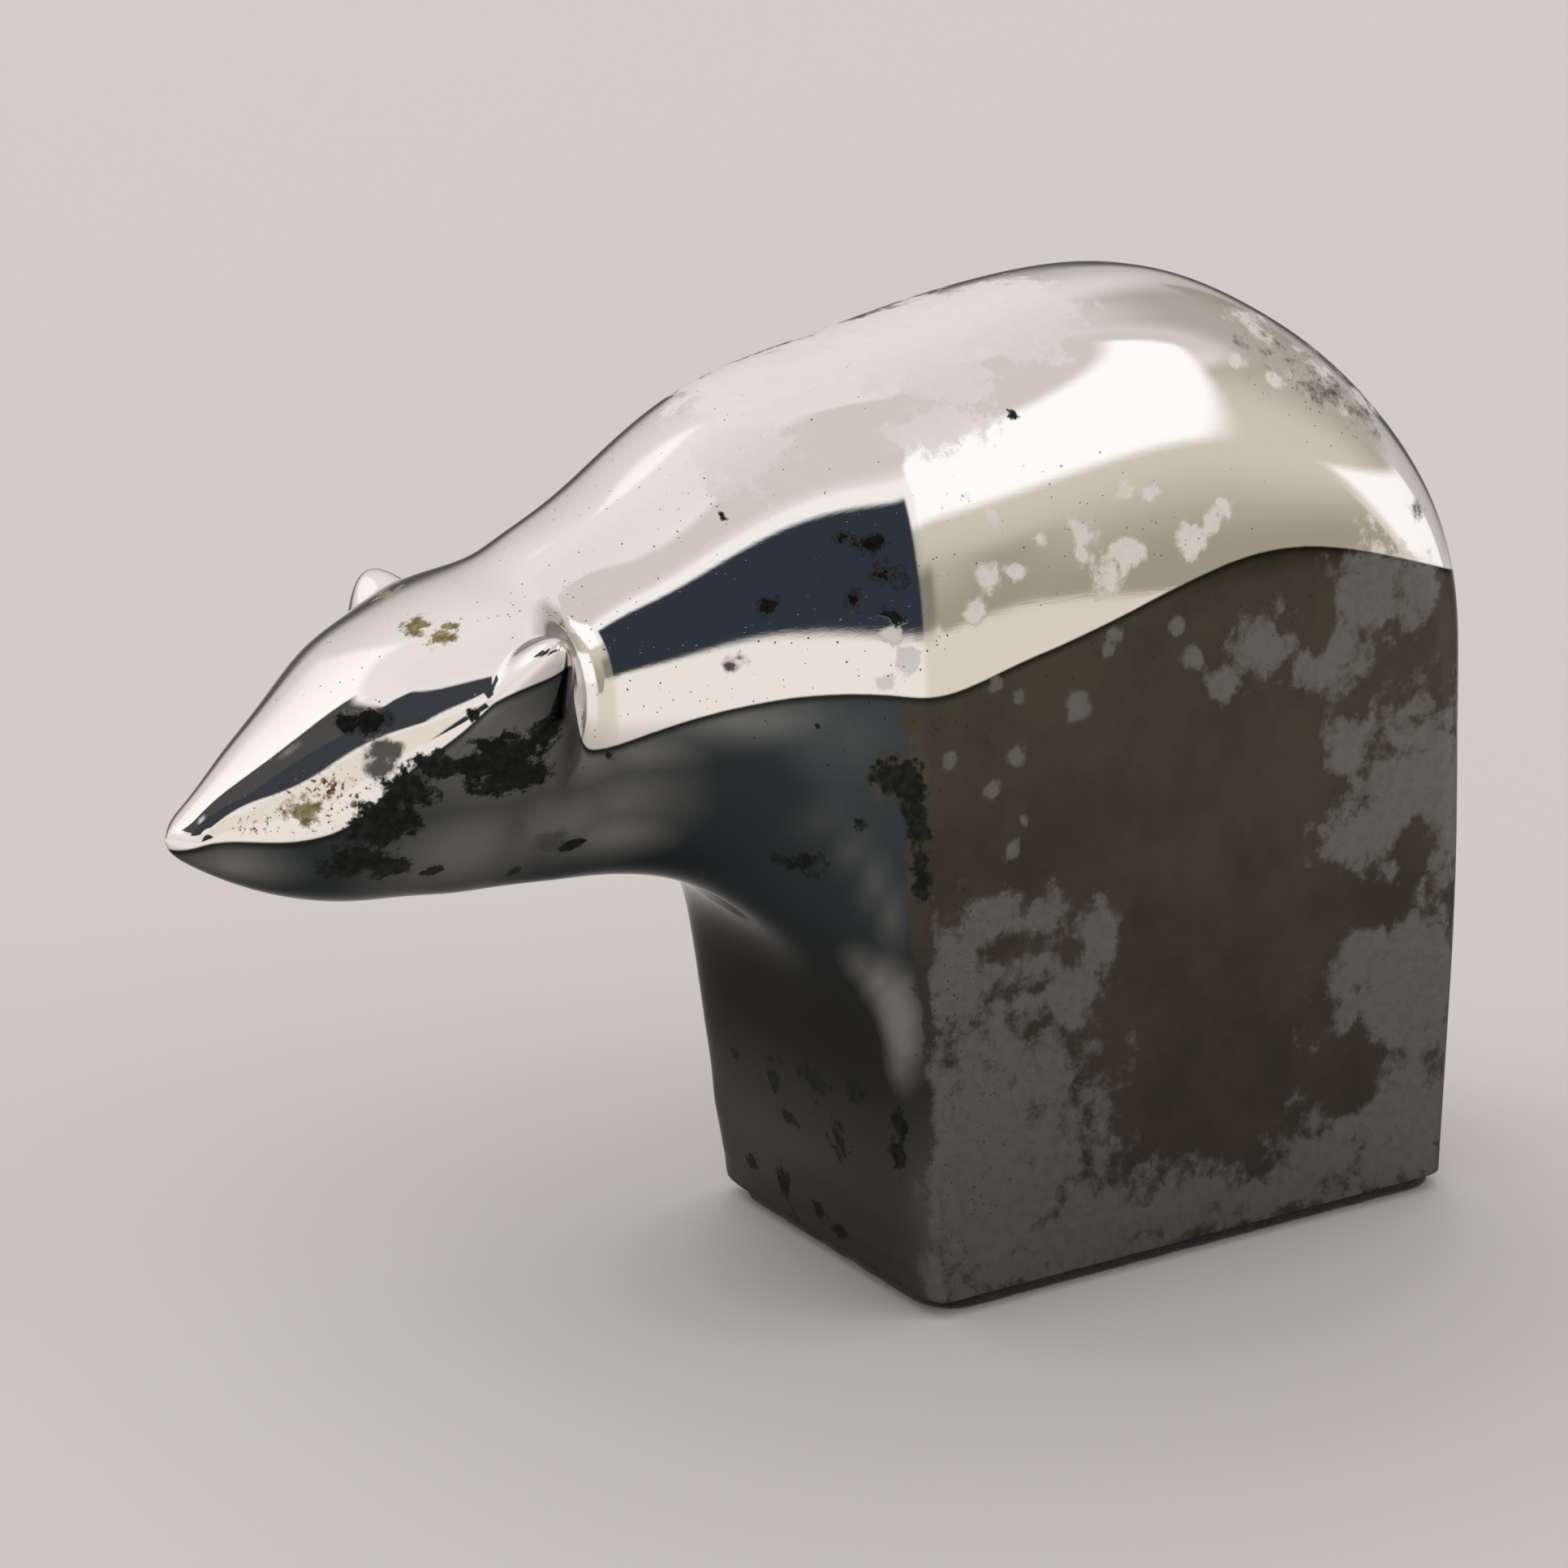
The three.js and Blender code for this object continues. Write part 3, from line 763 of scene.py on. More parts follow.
@dataclass(frozen=True)
class SilverPlate(Finish):
    """Old mirror-polished silver plate, with a painted dark reflection of the room over its lower half and
    painted pale reflections on that, hazed in patches and spotted with tarnish.

    Heights and depths are in millimetres, and a fineness is in repeats to the millimetre. A pair of heights
    or levels is where a change starts and where it is complete.
    """

    name: str = "silver_plate_worn"
    silver: Colour = (0.8, 0.772, 0.745)
    # Colours of the painted dark reflection of the room: dark on the neck and front, paler low on the front
    # and in the painted pale reflections, brown on the flanks, darkest along its top edge
    neck_painted_reflection: Colour = (0.037, 0.045, 0.049)
    front_painted_reflection: Colour = (0.033, 0.033, 0.03)
    front_painted_reflection_low: Colour = (0.105, 0.1, 0.09)
    neck_painted_reflection_pale: Colour = (0.24, 0.236, 0.226)
    flank_painted_reflection: Colour = (0.05, 0.046, 0.034)
    flank_painted_reflection_pale: Colour = (0.066, 0.06, 0.046)
    painted_reflection_rim: Colour = (0.018, 0.018, 0.015)
    pale_haze: Colour = (0.96, 0.94, 0.92)
    # Haze over the painted dark reflection, darkened with it: real haze carrying painted shade
    haze_painted_darker: Colour = (0.16, 0.16, 0.151)
    grime: Colour = (0.12, 0.118, 0.112)
    tarnish: Colour = (0.012, 0.015, 0.014)
    tarnish_brown: Colour = (0.028, 0.027, 0.022)
    verdigris: Colour = (0.22, 0.18, 0.06)
    verdigris_pale: Colour = (0.42, 0.37, 0.2)
    rust: Colour = (0.2, 0.09, 0.06)
    edge_tint: Colour = (0.52, 0.52, 0.52)
    prick: Colour = (0.035, 0.028, 0.022)
    front_heights: Pair = (6.0, 18.0)
    neck_heights: Pair = (19.0, 29.0)
    rim_levels: Pair = (1.4, 0.6)
    cloud_fineness: float = 1.6
    crust_levels: Pair = (0.4, 0.65)
    drift_fineness: float = 0.12
    drift_levels: Pair = (0.35, 0.65)
    milk_levels: Pair = (0.3, 0.6)
    milk_strengths: Pair = (0.75, 1.0)
    hidden_levels: Pair = (0.5, 1.0)
    silver_roughness: Pair = (0.02, 0.05)
    painted_reflection_roughness: Pair = (0.06, 0.14)
    haze_roughness: float = 0.4
    haze_metal: float = 0.25
    specular: float = 0.15
    prick_fineness: float = 4.0
    prick_size: float = 0.26
    scratch_fineness: float = 4.0
    scratch_stretch: float = 9.0
    scratch_rise: float = 0.03
    relief_depth: float = 0.03

    def masks(self, nodes: Nodes, place: Feed, cloud: Feed) -> dict[Coat, bpy.types.NodeSocket]:
        """Where each coat and each painted reflection lies.

        Args:
            nodes: Calls for the material's tree.
            place: Where the surface is on the piece.
            cloud: The clouds that lessen the haze.

        Returns:
            The mask of each coat.
        """
        masks = {
            coat: nodes.group(
                Effects.ragged_patch(),
                Place=place,
                Coverage=nodes.held(coat),
                Fineness=cut.fineness,
                Raggedness=cut.raggedness,
                Softness=cut.softness,
            )
            for coat, cut in CUTS.items()
        }
        milk = nodes.blend(nodes.step(cloud, *self.milk_levels), *self.milk_strengths)
        masks[Coat.HAZE] = nodes.math("MULTIPLY", masks[Coat.HAZE], milk)
        masks[Coat.PRICKS] = nodes.group(
            Effects.specks(),
            Place=place,
            Density=nodes.held(Coat.PRICKS),
            Fineness=self.prick_fineness,
            Size=self.prick_size,
        )
        return masks

    def painted_reflection_colour(
        self, nodes: Nodes, place: Feed, masks: dict[Coat, bpy.types.NodeSocket], drift: Feed
    ) -> bpy.types.NodeSocket:
        """Colour of the painted dark reflection: paler low on the front and where the painted pale
        reflections lie, brown on the flanks, darkest at its top edge.

        Args:
            nodes: Calls for the material's tree.
            place: Where the surface is on the piece.
            masks: The mask of each coat.
            drift: The slow change along the flank.

        Returns:
            The colour.
        """
        up = nodes.axes(place)[2]
        front = nodes.tint(nodes.step(up, *self.front_heights), self.front_painted_reflection_low, self.front_painted_reflection)
        neck = nodes.tint(nodes.step(up, *self.neck_heights), front, self.neck_painted_reflection)
        neck = nodes.tint(masks[Coat.THIN], neck, self.neck_painted_reflection_pale)
        flank = nodes.tint(drift, self.flank_painted_reflection, self.flank_painted_reflection_pale)
        rim = nodes.step(nodes.held(Coat.PAINTED_DARK_REFLECTION), *self.rim_levels)
        return nodes.tint(rim, nodes.tint(masks[Coat.WARMTH], neck, flank), self.painted_reflection_rim)

    def tones(self, nodes: Nodes, cloud: Feed) -> dict[Coat, Feed]:
        """Colours of the coats that hide the plate.

        Args:
            nodes: Calls for the material's tree.
            cloud: The clouds that vary them.

        Returns:
            The colour of each coat.
        """
        crust = nodes.step(cloud, *self.crust_levels)
        return {
            Coat.GRIME: self.grime,
            Coat.TARNISH: nodes.tint(crust, self.tarnish, self.tarnish_brown),
            Coat.RUST: self.rust,
            Coat.VERDIGRIS: nodes.tint(crust, self.verdigris, self.verdigris_pale),
            Coat.PRICKS: self.prick,
        }

    def wire(self, nodes: Nodes, shader: bpy.types.Node) -> None:
        """Lays the painted dark reflection over the silver, then the haze and the coats up to the specks.

        Args:
            nodes: Calls for the material's tree.
            shader: The shader to feed.
        """
        place = nodes.place()
        cloud = nodes.noise(place, self.cloud_fineness, detail=5.0)
        drift = nodes.step(nodes.noise(place, self.drift_fineness, detail=4.0), *self.drift_levels)
        masks = self.masks(nodes, place, cloud)
        painted_dark_reflection, haze = masks[Coat.PAINTED_DARK_REFLECTION], masks[Coat.HAZE]
        # The painted dark reflection of the room darkens the silver over the lower half
        plate = nodes.tint(painted_dark_reflection, self.silver, self.painted_reflection_colour(nodes, place, masks, drift))
        colour = nodes.tint(haze, plate, nodes.tint(painted_dark_reflection, self.pale_haze, self.haze_painted_darker))
        under_painted_reflection_roughness = nodes.blend(masks[Coat.WARMTH], *self.painted_reflection_roughness)
        roughness = nodes.blend(painted_dark_reflection, nodes.blend(drift, *self.silver_roughness), under_painted_reflection_roughness)
        roughness = nodes.blend(haze, roughness, self.haze_roughness)
        frost = nodes.math("MULTIPLY", haze, nodes.math("SUBTRACT", 1.0, painted_dark_reflection))
        metal = nodes.blend(frost, 1.0, self.haze_metal)
        tones = self.tones(nodes, cloud)
        for coat, rough in ROUGHNESS.items():
            colour = nodes.tint(masks[coat], colour, tones[coat])
            roughness = nodes.blend(nodes.step(masks[coat], *self.hidden_levels), roughness, rough)
        for coat, left in METAL_LEFT.items():
            metal = nodes.blend(nodes.step(masks[coat], *self.hidden_levels), metal, left)
        nodes.feed(
            shader,
            {
                "Base Color": colour,
                "Roughness": roughness,
                "Metallic": metal,
                "Specular IOR Level": self.specular,
                "Specular Tint": (*self.edge_tint, 1),
            },
        )

        scratch = nodes.group(
            Effects.hairlines(), Place=place, Fineness=self.scratch_fineness, Stretch=self.scratch_stretch
        )
        relief = nodes.math("MULTIPLY", scratch, self.scratch_rise)
        for coat, rise in RELIEF.items():
            relief = nodes.math("ADD", relief, nodes.math("MULTIPLY", masks[coat], rise))
        self.roughen(nodes, shader, relief, self.relief_depth)


@dataclass(frozen=True)
class Blotched(Finish):
    """A rough finish that clouds between two colours, with grains in its surface."""

    pale: Colour
    dark: Colour
    metallic: float
    roughness: float
    cloud_fineness: float
    grain_fineness: float
    grain_depth: float
    roughness_play: float = 0.1
    raggedness: float = 0.8
    softness: float = 0.3

    def wire(self, nodes: Nodes, shader: bpy.types.Node) -> None:
        """Clouds the colour and raises the grains.

        Args:
            nodes: Calls for the material's tree.
            shader: The shader to feed.
        """
        place = nodes.place()
        patch = nodes.group(
            Effects.ragged_patch(),
            Place=place,
            Coverage=nodes.noise(place, self.cloud_fineness, detail=6.0),
            Fineness=self.grain_fineness,
            Raggedness=self.raggedness,
            Softness=self.softness,
        )
        grain = nodes.noise(place, self.grain_fineness, detail=4.0)
        least, most = self.roughness - self.roughness_play, self.roughness + self.roughness_play
        nodes.feed(
            shader,
            {
                "Base Color": nodes.tint(patch, self.pale, self.dark),
                "Roughness": nodes.blend(grain, least, most),
                "Metallic": self.metallic,
            },
        )
        self.roughen(nodes, shader, grain, self.grain_depth)


@dataclass(frozen=True)
class RolledSheet(Finish):
    """Plain rolled sheet metal, with faint lines from the rolls."""

    name: str = "sheet_steel_rolled"
    pale: Colour = (0.52, 0.51, 0.49)
    dark: Colour = (0.36, 0.35, 0.33)
    line_fineness: float = 5.0
    line_stretch: float = 25.0
    line_depth: float = 0.01
    cloud_fineness: float = 0.2
    roughness: Pair = (0.25, 0.5)

    def wire(self, nodes: Nodes, shader: bpy.types.Node) -> None:
        """Draws the lines and clouds the roughness.

        Args:
            nodes: Calls for the material's tree.
            shader: The shader to feed.
        """
        place = nodes.place()
        lines = nodes.group(
            Effects.hairlines(), Place=place, Fineness=self.line_fineness, Stretch=self.line_stretch
        )
        nodes.feed(
            shader,
            {
                "Base Color": nodes.tint(lines, self.pale, self.dark),
                "Roughness": nodes.blend(nodes.noise(place, self.cloud_fineness), *self.roughness),
                "Metallic": 1.0,
            },
        )
        self.roughen(nodes, shader, lines, self.line_depth)


@dataclass(frozen=True)
class WoolFelt(Finish):
    """Short-fibred black wool felt."""

    name: str = "black_felt_wool"
    pale: Colour = (0.03, 0.029, 0.028)
    dark: Colour = (0.008, 0.008, 0.008)
    mat_fineness: float = 1.2
    fibre_fineness: float = 9.0
    fibre_stretch: float = 3.0
    tone_levels: Pair = (0.35, 0.65)
    roughness: Pair = (0.85, 1.0)
    sheen: float = 0.25
    sheen_roughness: float = 0.6
    specular: float = 0.2
    fibre_depth: float = 0.12

    def wire(self, nodes: Nodes, shader: bpy.types.Node) -> None:
        """Mats the fibres together and gives them a dull sheen.

        Args:
            nodes: Calls for the material's tree.
            shader: The shader to feed.
        """
        place = nodes.place()
        matted = nodes.noise(place, self.mat_fineness, detail=8.0)
        fibres = nodes.group(
            Effects.hairlines(), Place=place, Fineness=self.fibre_fineness, Stretch=self.fibre_stretch
        )
        mean = nodes.math("MULTIPLY", nodes.math("ADD", matted, fibres), 0.5)
        tone = nodes.step(mean, *self.tone_levels)
        nodes.feed(
            shader,
            {
                "Base Color": nodes.tint(tone, self.dark, self.pale),
                "Roughness": nodes.blend(matted, *self.roughness),
                "Sheen Weight": self.sheen,
                "Sheen Roughness": self.sheen_roughness,
                "Specular IOR Level": self.specular,
            },
        )
        self.roughen(nodes, shader, mean, self.fibre_depth)


@dataclass
class BearCasting:
    """The hollow plated casting: body, neck, head and ears in one piece. Sizes in millimetres."""

    body_half: float = 14.0
    body_length: float = 44.7
    overall_shift: float = -0.475
    base_height: float = 1.2
    crease_blend: float = 0.35
    ear_place: Place = (-25.1, 10.7, 43.9)
    ear_lift: Place = (0.0, 0.72, 0.69)
    ear_along: Place = (0.75, -0.66, 0.0)
    ear_half: Pair = (3.2, 2.3)
    ear_height: float = 2.6
    ear_roundness: float = 1.3
    hollow_front: float = 4.5
    hollow_rear: float = 40.2
    hollow_half: float = 9.5
    hollow_top: float = 50.9
    hollow_front_radius: float = 8.0
    hollow_rear_radius: float = 20.0
    seat_depth: float = 1.8
    seat_ledge: float = 1.6
    hollow_round_start: float = 30.6
    hollow_round_steps: int = 16
    ring_steps: int = 12
    side_steps: int = 136
    side_samples: int = 1501
    rounds_share: float = 0.98
    bend_length: float = 6.0
    sharp_angle: float = 40.0
    # Width of the soft top edge of the painted dark reflection
    painted_reflection_fade: float = 0.35
    warm_heights: Pair = (12.0, 28.0)
    warm_fronts: Pair = (0.2, -1.7)
    warm_fade: float = 1.0
    finish: Finish = field(default_factory=SilverPlate)

    def half_width(self, x: np.ndarray) -> np.ndarray:
        """Half width: the neck widens up to the crease, and the flank behind it is flat.

        Args:
            x: Places along the bear.

        Returns:
            The half width at each place.
        """
        (before_x, before_half), (crease_x, crease_half) = BEAR_PLAN[-2:]
        plan = SmoothCurve.through(BEAR_PLAN)
        neck = plan.at(np.clip(x, BEAR_PLAN[0][0], before_x))[:, 0]
        slope = (crease_half - before_half) / (crease_x - before_x)
        shoulder = before_half + slope * (x - before_x)
        return rounded_minimum(np.where(x <= before_x, neck, shoulder), self.body_half, self.crease_blend)

    def side_points(self, ring: np.ndarray, marks: np.ndarray) -> np.ndarray:
        """Points down the left side of a ring.

        Args:
            ring: The ring's eight values.
            marks: Places along the side: 0 to 1 is the upper round, 1 to 2 the flank, 2 to 3 the lower.

        Returns:
            One row of x, y and z for each mark.
        """
        upper, lower = ring[0:2], ring[2:4]
        span = float(np.hypot(*(upper - lower)))
        rounds = ring[4:].reshape(2, 2)
        shrink = min(1.0, self.rounds_share * span / rounds[:, 0].sum())
        share = np.ones_like(marks)
        rise = np.zeros_like(marks)
        reaches = rounds[:, 0] * shrink
        for end, turn in enumerate((np.clip(marks, 0, 1), np.clip(3 - marks, 0, 1))):
            square = rounds[end, 1]
            angle = turn * math.pi / 2
            radius = (np.cos(angle) ** square + np.sin(angle) ** square) ** (-1 / square)
            share = share * np.where(turn < 1, radius * np.sin(angle), 1)
            inset = reaches[end] * (1 - radius * np.cos(angle))
            rise = np.where((marks <= 1.5) == (end == 0), span - inset if end == 0 else inset, rise)
        flank = np.clip(marks - 1, 0, 1)
        straight = (span - reaches[0]) * (1 - flank) + reaches[1] * flank
        rise = np.where((marks > 1) & (marks < 2), straight, rise)
        place = lower + np.outer(rise / max(span, TINY), upper - lower)
        return np.column_stack([place[:, 0], -self.half_width(place[:, 0]) * share, place[:, 1]])

    def spread_side(self, ring: np.ndarray) -> np.ndarray:
        """Points down the left side of a ring, closer together where it bends.

        Args:
            ring: The ring's eight values.

        Returns:
            One row of x, y and z for each point.
        """
        marks = np.linspace(0, 3, self.side_samples)
        points = self.side_points(ring, marks)
        strides = np.diff(points, axis=0)
        lengths = np.linalg.norm(strides, axis=1)
        headings = strides / np.maximum(lengths, TINY)[:, None]
        turns = np.arccos(np.clip((headings[1:] * headings[:-1]).sum(axis=1), -1, 1))
        weight = lengths + self.bend_length * np.concatenate([[0], turns])
        travelled = np.concatenate([[0], np.cumsum(weight)])
        even = np.linspace(0, travelled[-1], self.side_steps + 1)
        side = self.side_points(ring, np.interp(even, travelled, marks))
        side[[0, -1], 1] = 0
        return side

    def raise_ears(self, points: np.ndarray) -> np.ndarray:
        """Draws the skin out into a rounded lobe at each rear corner of the head.

        Args:
            points: Points of the skin.

        Returns:
            The points, moved.
        """
        moved = points.copy()
        for side in Side:
            flip = np.array([1, side.value, 1])
            lift = np.array(self.ear_lift) * flip / np.linalg.norm(self.ear_lift)
            along = np.array(self.ear_along) * flip
            along = along - lift * (along @ lift)
            along = along / np.linalg.norm(along)
            away = points - np.array(self.ear_place) * flip
            across = np.cross(lift, along)
            spread = np.hypot(away @ along / self.ear_half[0], away @ across / self.ear_half[1])
            dome = np.clip(1 - spread**2, 0, 1) ** self.ear_roundness
            outer = away @ lift > -self.ear_half[0]
            moved = moved + np.outer(self.ear_height * dome * outer, lift)
        return moved

    def inner_loop(
        self, outline: np.ndarray, front: float, rear: float, half: float, z: float
    ) -> np.ndarray:
        """A rectangular loop with one point for each point of the base outline, corners included.

        Args:
            outline: Points of the base outline.
            front: Where the rectangle starts along the bear.
            rear: Where it ends.
            half: Half its width.
            z: Its height.

        Returns:
            One row of x, y and z for each point.
        """
        middle = (front + rear) / 2
        spread = np.array([(rear - front) / 2, half])
        offset = (outline[:, :2] - [middle, 0]) / spread
        loop = offset / np.abs(offset).max(axis=1)[:, None]
        for corner in ((-1, -1), (1, -1), (1, 1), (-1, 1)):
            loop[np.argmin(((loop - corner) ** 2).sum(axis=1))] = corner
        return np.column_stack([loop * spread + [middle, 0], np.full(len(loop), z)])

    def hollow_loops(self, outline: np.ndarray) -> list[np.ndarray]:
        """Loops from the base outline into the plate's seat and up the hollow.

        Args:
            outline: Points of the base outline.

        Returns:
            The loops, from the base upwards.
        """
        seat = (self.hollow_front - self.seat_ledge, self.hollow_rear + self.seat_ledge)
        seat_half = self.hollow_half + self.seat_ledge
        loops = [
            self.inner_loop(outline, *seat, seat_half, 0.0),
            self.inner_loop(outline, *seat, seat_half, self.seat_depth),
        ]
        rounded = np.linspace(self.hollow_round_start, self.hollow_top, self.hollow_round_steps)
        for height in np.concatenate([[self.seat_depth], rounded]):
            drawn = []
            for radius in (self.hollow_front_radius, self.hollow_rear_radius):
                climb = max(0.0, height - (self.hollow_top - radius))
                drawn.append(radius - math.sqrt(max(radius**2 - climb**2, 0.0)))
            front, rear = self.hollow_front + drawn[0], self.hollow_rear - drawn[1]
            loops.append(self.inner_loop(outline, front, rear, self.hollow_half, float(height)))
        return loops

    def coats(self, points: np.ndarray) -> dict[Coat, np.ndarray]:
        """How much of each coat and each painted reflection lies on the casting, on both sides of the bear.

        Args:
            points: Points of the casting.

        Returns:
            The amount at each point, for each coat.
        """
        stains = {coat: list(marks) for coat, marks in STAINS.items()}
        for x, z, reach in FLANK_SPOTS:
            stains[Coat.HAZE].append(Stain((x, -self.body_half, z), (reach, SPOT_DEPTH, reach)))
        held = {}
        for coat, marks in stains.items():
            both = marks + [mark.far_twin(self.body_length) for mark in marks]
            held[coat] = np.max([mark.cover(points) for mark in both], axis=0)
        held[Coat.HAZE] = np.clip(held[Coat.HAZE] - held.pop(Coat.CLEAR), 0, 1)
        # The painted dark reflection lies below its line, with a soft top edge
        line = SmoothCurve.through(PAINTED_REFLECTION_LINE)
        below = line.at(points[:, 0])[:, 0] - points[:, 2]
        held[Coat.PAINTED_DARK_REFLECTION] = 0.5 + below / (2 * self.painted_reflection_fade)
        # Behind the front face, on the flanks, the painted dark reflection takes its brown tone
        front = np.interp(points[:, 2], self.warm_heights, self.warm_fronts)
        behind = np.clip(0.5 + (points[:, 0] - front) / (2 * self.warm_fade), 0, 1)
        held[Coat.WARMTH] = np.maximum(held[Coat.WARMTH], behind)
        return held

    def make_mesh(self) -> bpy.types.Object:
        """The casting's skin, base and hollow as one closed mesh.

        Returns:
            The casting, without its finish.
        """
        curve = SmoothCurve(range(len(BEAR_RINGS)), [ring.row() for ring in BEAR_RINGS])
        count = (len(BEAR_RINGS) - 1) * self.ring_steps
        rings = curve.at(np.arange(1, count + 1) / self.ring_steps)
        loops = []
        for ring in rings:
            left = self.spread_side(ring)
            right = left[-2:0:-1] * [1, -1, 1]
            loops.append(np.concatenate([left, right]))
        skin = self.raise_ears(np.concatenate(loops))
        outline = loops[-1]
        inner = self.hollow_loops(outline)
        nose = np.array([[BEAR_RINGS[0].upper[0], 0, BEAR_RINGS[0].upper[1]]])
        points = np.concatenate([nose, skin, *inner])
        around = len(outline)
        starts = 1 + around * np.arange(len(rings) + len(inner))
        numbers = [list(range(start, start + around)) for start in starts]
        faces: list[tuple[int, ...]] = [
            (0, numbers[0][(turn + 1) % around], numbers[0][turn]) for turn in range(around)
        ]
        for first, second in zip(numbers[:-1], numbers[1:]):
            faces += loop_faces(first, second)
        last = numbers[-1]
        for turn in range(self.side_steps):
            corners = (last[turn], last[turn + 1], last[around - turn - 1], last[(around - turn) % around])
            faces.append(tuple(dict.fromkeys(corners)))
        made = mesh_object("bear_casting_plated", points + [self.overall_shift, 0, self.base_height], faces)
        for coat, values in self.coats(points).items():
            held = made.data.attributes.new(coat.value, "FLOAT", "POINT")
            held.data.foreach_set("value", values.astype(np.float32))
        made.data.shade_smooth()
        made.data.set_sharp_from_angle(angle=math.radians(self.sharp_angle))
        return made

    def build(self) -> bpy.types.Object:
        """Makes, dresses and seats the casting.

        Returns:
            The casting.
        """
        casting = self.make_mesh()
        casting.data.materials.append(self.finish.material())
        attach(casting, "root")
        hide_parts("bear_casting")
        return casting


# Points of one bent fibre, as shares of its length: along it, then aside
FIBRE_BEND = (("Start", -0.1, 0.0), ("Middle", 0.6, 0.0), ("End", 0.9, 0.4))


@dataclass
class FeltPad:
    """The felt under the base, with soft edges and loose fibres round its rim. Sizes in millimetres."""

    length: float = 43.1
    width: float = 26.4
    thickness: float = 1.2
    corner: float = 3.0
    front: float = 0.325
    edge_round: float = 0.3
    edge_steps: int = 5
    wave: float = 0.05
    wave_counts: tuple[int, int, int] = (23, 9, 41)
    wave_start: float = 1.3
    corner_steps: int = 12
    straight_step: float = 0.5
    sharp_angle: float = 50.0
    fibre_count: float = 9.0
    fibre_length: float = 0.36
    fibre_thickness: float = 0.022
    fibre_steps: int = 4
    fibre_sides: int = 3
    fibre_sizes: Pair = (0.35, 1.0)
    fibre_lean: float = 0.6
    fibre_turn: float = 6.28
    fibre_seed: int = 5
    rim_slope: float = 0.4
    rim_gap: float = 0.02
    finish: Finish = field(default_factory=WoolFelt)

    def outline(self, inset: float) -> np.ndarray:
        """The rounded rectangle of the cut, turning left seen from above.

        Args:
            inset: How far it is drawn in all round.

        Returns:
            One row of x and y for each point.
        """
        half = np.array([self.length / 2, self.width / 2]) - inset
        radius = self.corner - inset
        points = []
        for index, (sx, sy) in enumerate(((1, 1), (-1, 1), (-1, -1), (1, -1))):
            middle = (half - radius) * [sx, sy]
            turns = (index + np.linspace(0, 1, self.corner_steps + 1)) * math.pi / 2
            points.append(middle + radius * np.column_stack([np.cos(turns), np.sin(turns)]))
            side = (self.width if index % 2 else self.length) - 2 * self.corner
            share = np.linspace(0, 1, round(side / self.straight_step) + 1)[1:-1, None]
            after = [-1, 0] if index % 2 == 0 else [0, -1]
            run = 2 * (half - radius) * after * (1 if index < 2 else -1)
            points.append(points[-1][-1] + share * run)
        flat = np.concatenate(points)
        return flat + [self.front + self.length / 2, 0]

    def ripple(self, run: np.ndarray, height: float) -> np.ndarray:
        """How far the rim is drawn in by its waves.

        Args:
            run: Places round the rim, as angles.
            height: Height of the place on the rim.

        Returns:
            The share of the wave at each place.
        """
        slow, slower, quick = self.wave_counts
        swell = np.sin(slow * run + 2 * height) * np.sin(slower * run + self.wave_start)
        return 1 + swell + 0.5 * np.sin(quick * run + height)

    def make_slab(self) -> bpy.types.Object:
        """The cut felt: flat above and below, with a soft and slightly wavy rim.

        Returns:
            The felt, without its finish.
        """
        turn = np.linspace(0, math.pi / 2, self.edge_steps)
        drawn = self.edge_round * (1 - np.sin(turn))
        rise = self.edge_round * (1 - np.cos(turn))
        insets = np.concatenate([drawn, drawn[::-1]])
        heights = np.concatenate([rise, self.thickness - rise[::-1]])
        loops = []
        for inset, height in zip(insets, heights):
            flat = self.outline(float(inset))
            run = np.linspace(0, 2 * math.pi, len(flat), endpoint=False)
            towards = flat - flat.mean(axis=0)
            towards = towards / np.linalg.norm(towards, axis=1)[:, None]
            flat = flat - towards * (self.wave * self.ripple(run, height))[:, None]
            loops.append(np.column_stack([flat, np.full(len(flat), height)]))
        around = len(loops[0])
        numbers = [list(range(i * around, (i + 1) * around)) for i in range(len(loops))]
        faces: list[tuple[int, ...]] = [tuple(reversed(numbers[0])), tuple(numbers[-1])]
        for first, second in zip(numbers[:-1], numbers[1:]):
            faces += loop_faces(first, second)
        made = mesh_object("felt_pad_cut", np.concatenate(loops), faces)
        made.data.shade_smooth()
        made.data.set_sharp_from_angle(angle=math.radians(self.sharp_angle))
        return made

    def fibre_shape(self, nodes: Nodes, given: bpy.types.Node) -> bpy.types.NodeSocket:
        """One bent fibre that grows along Z.

        Args:
            nodes: Calls for the tree.
            given: The tree's input node.

        Returns:
            The fibre's mesh.
        """
        length = given.outputs["Length"]
        half = nodes.math("MULTIPLY", given.outputs["Thickness"], 0.5)
        spine = nodes.add("GeometryNodeCurveQuadraticBezier", {"Resolution": self.fibre_steps})
        for name, along, aside in FIBRE_BEND:
            parts = {0: nodes.math("MULTIPLY", length, aside), 2: nodes.math("MULTIPLY", length, along)}
            nodes.feed(spine, {name: nodes.add("ShaderNodeCombineXYZ", parts).outputs[0]})
        feeds = {"Resolution": self.fibre_sides, "Radius": half}
        section = nodes.add("GeometryNodeCurvePrimitiveCircle", feeds)
        feeds = {"Curve": spine.outputs[0], "Profile Curve": section.outputs[0], "Fill Caps": True}
        return nodes.add("GeometryNodeCurveToMesh", feeds).outputs[0]

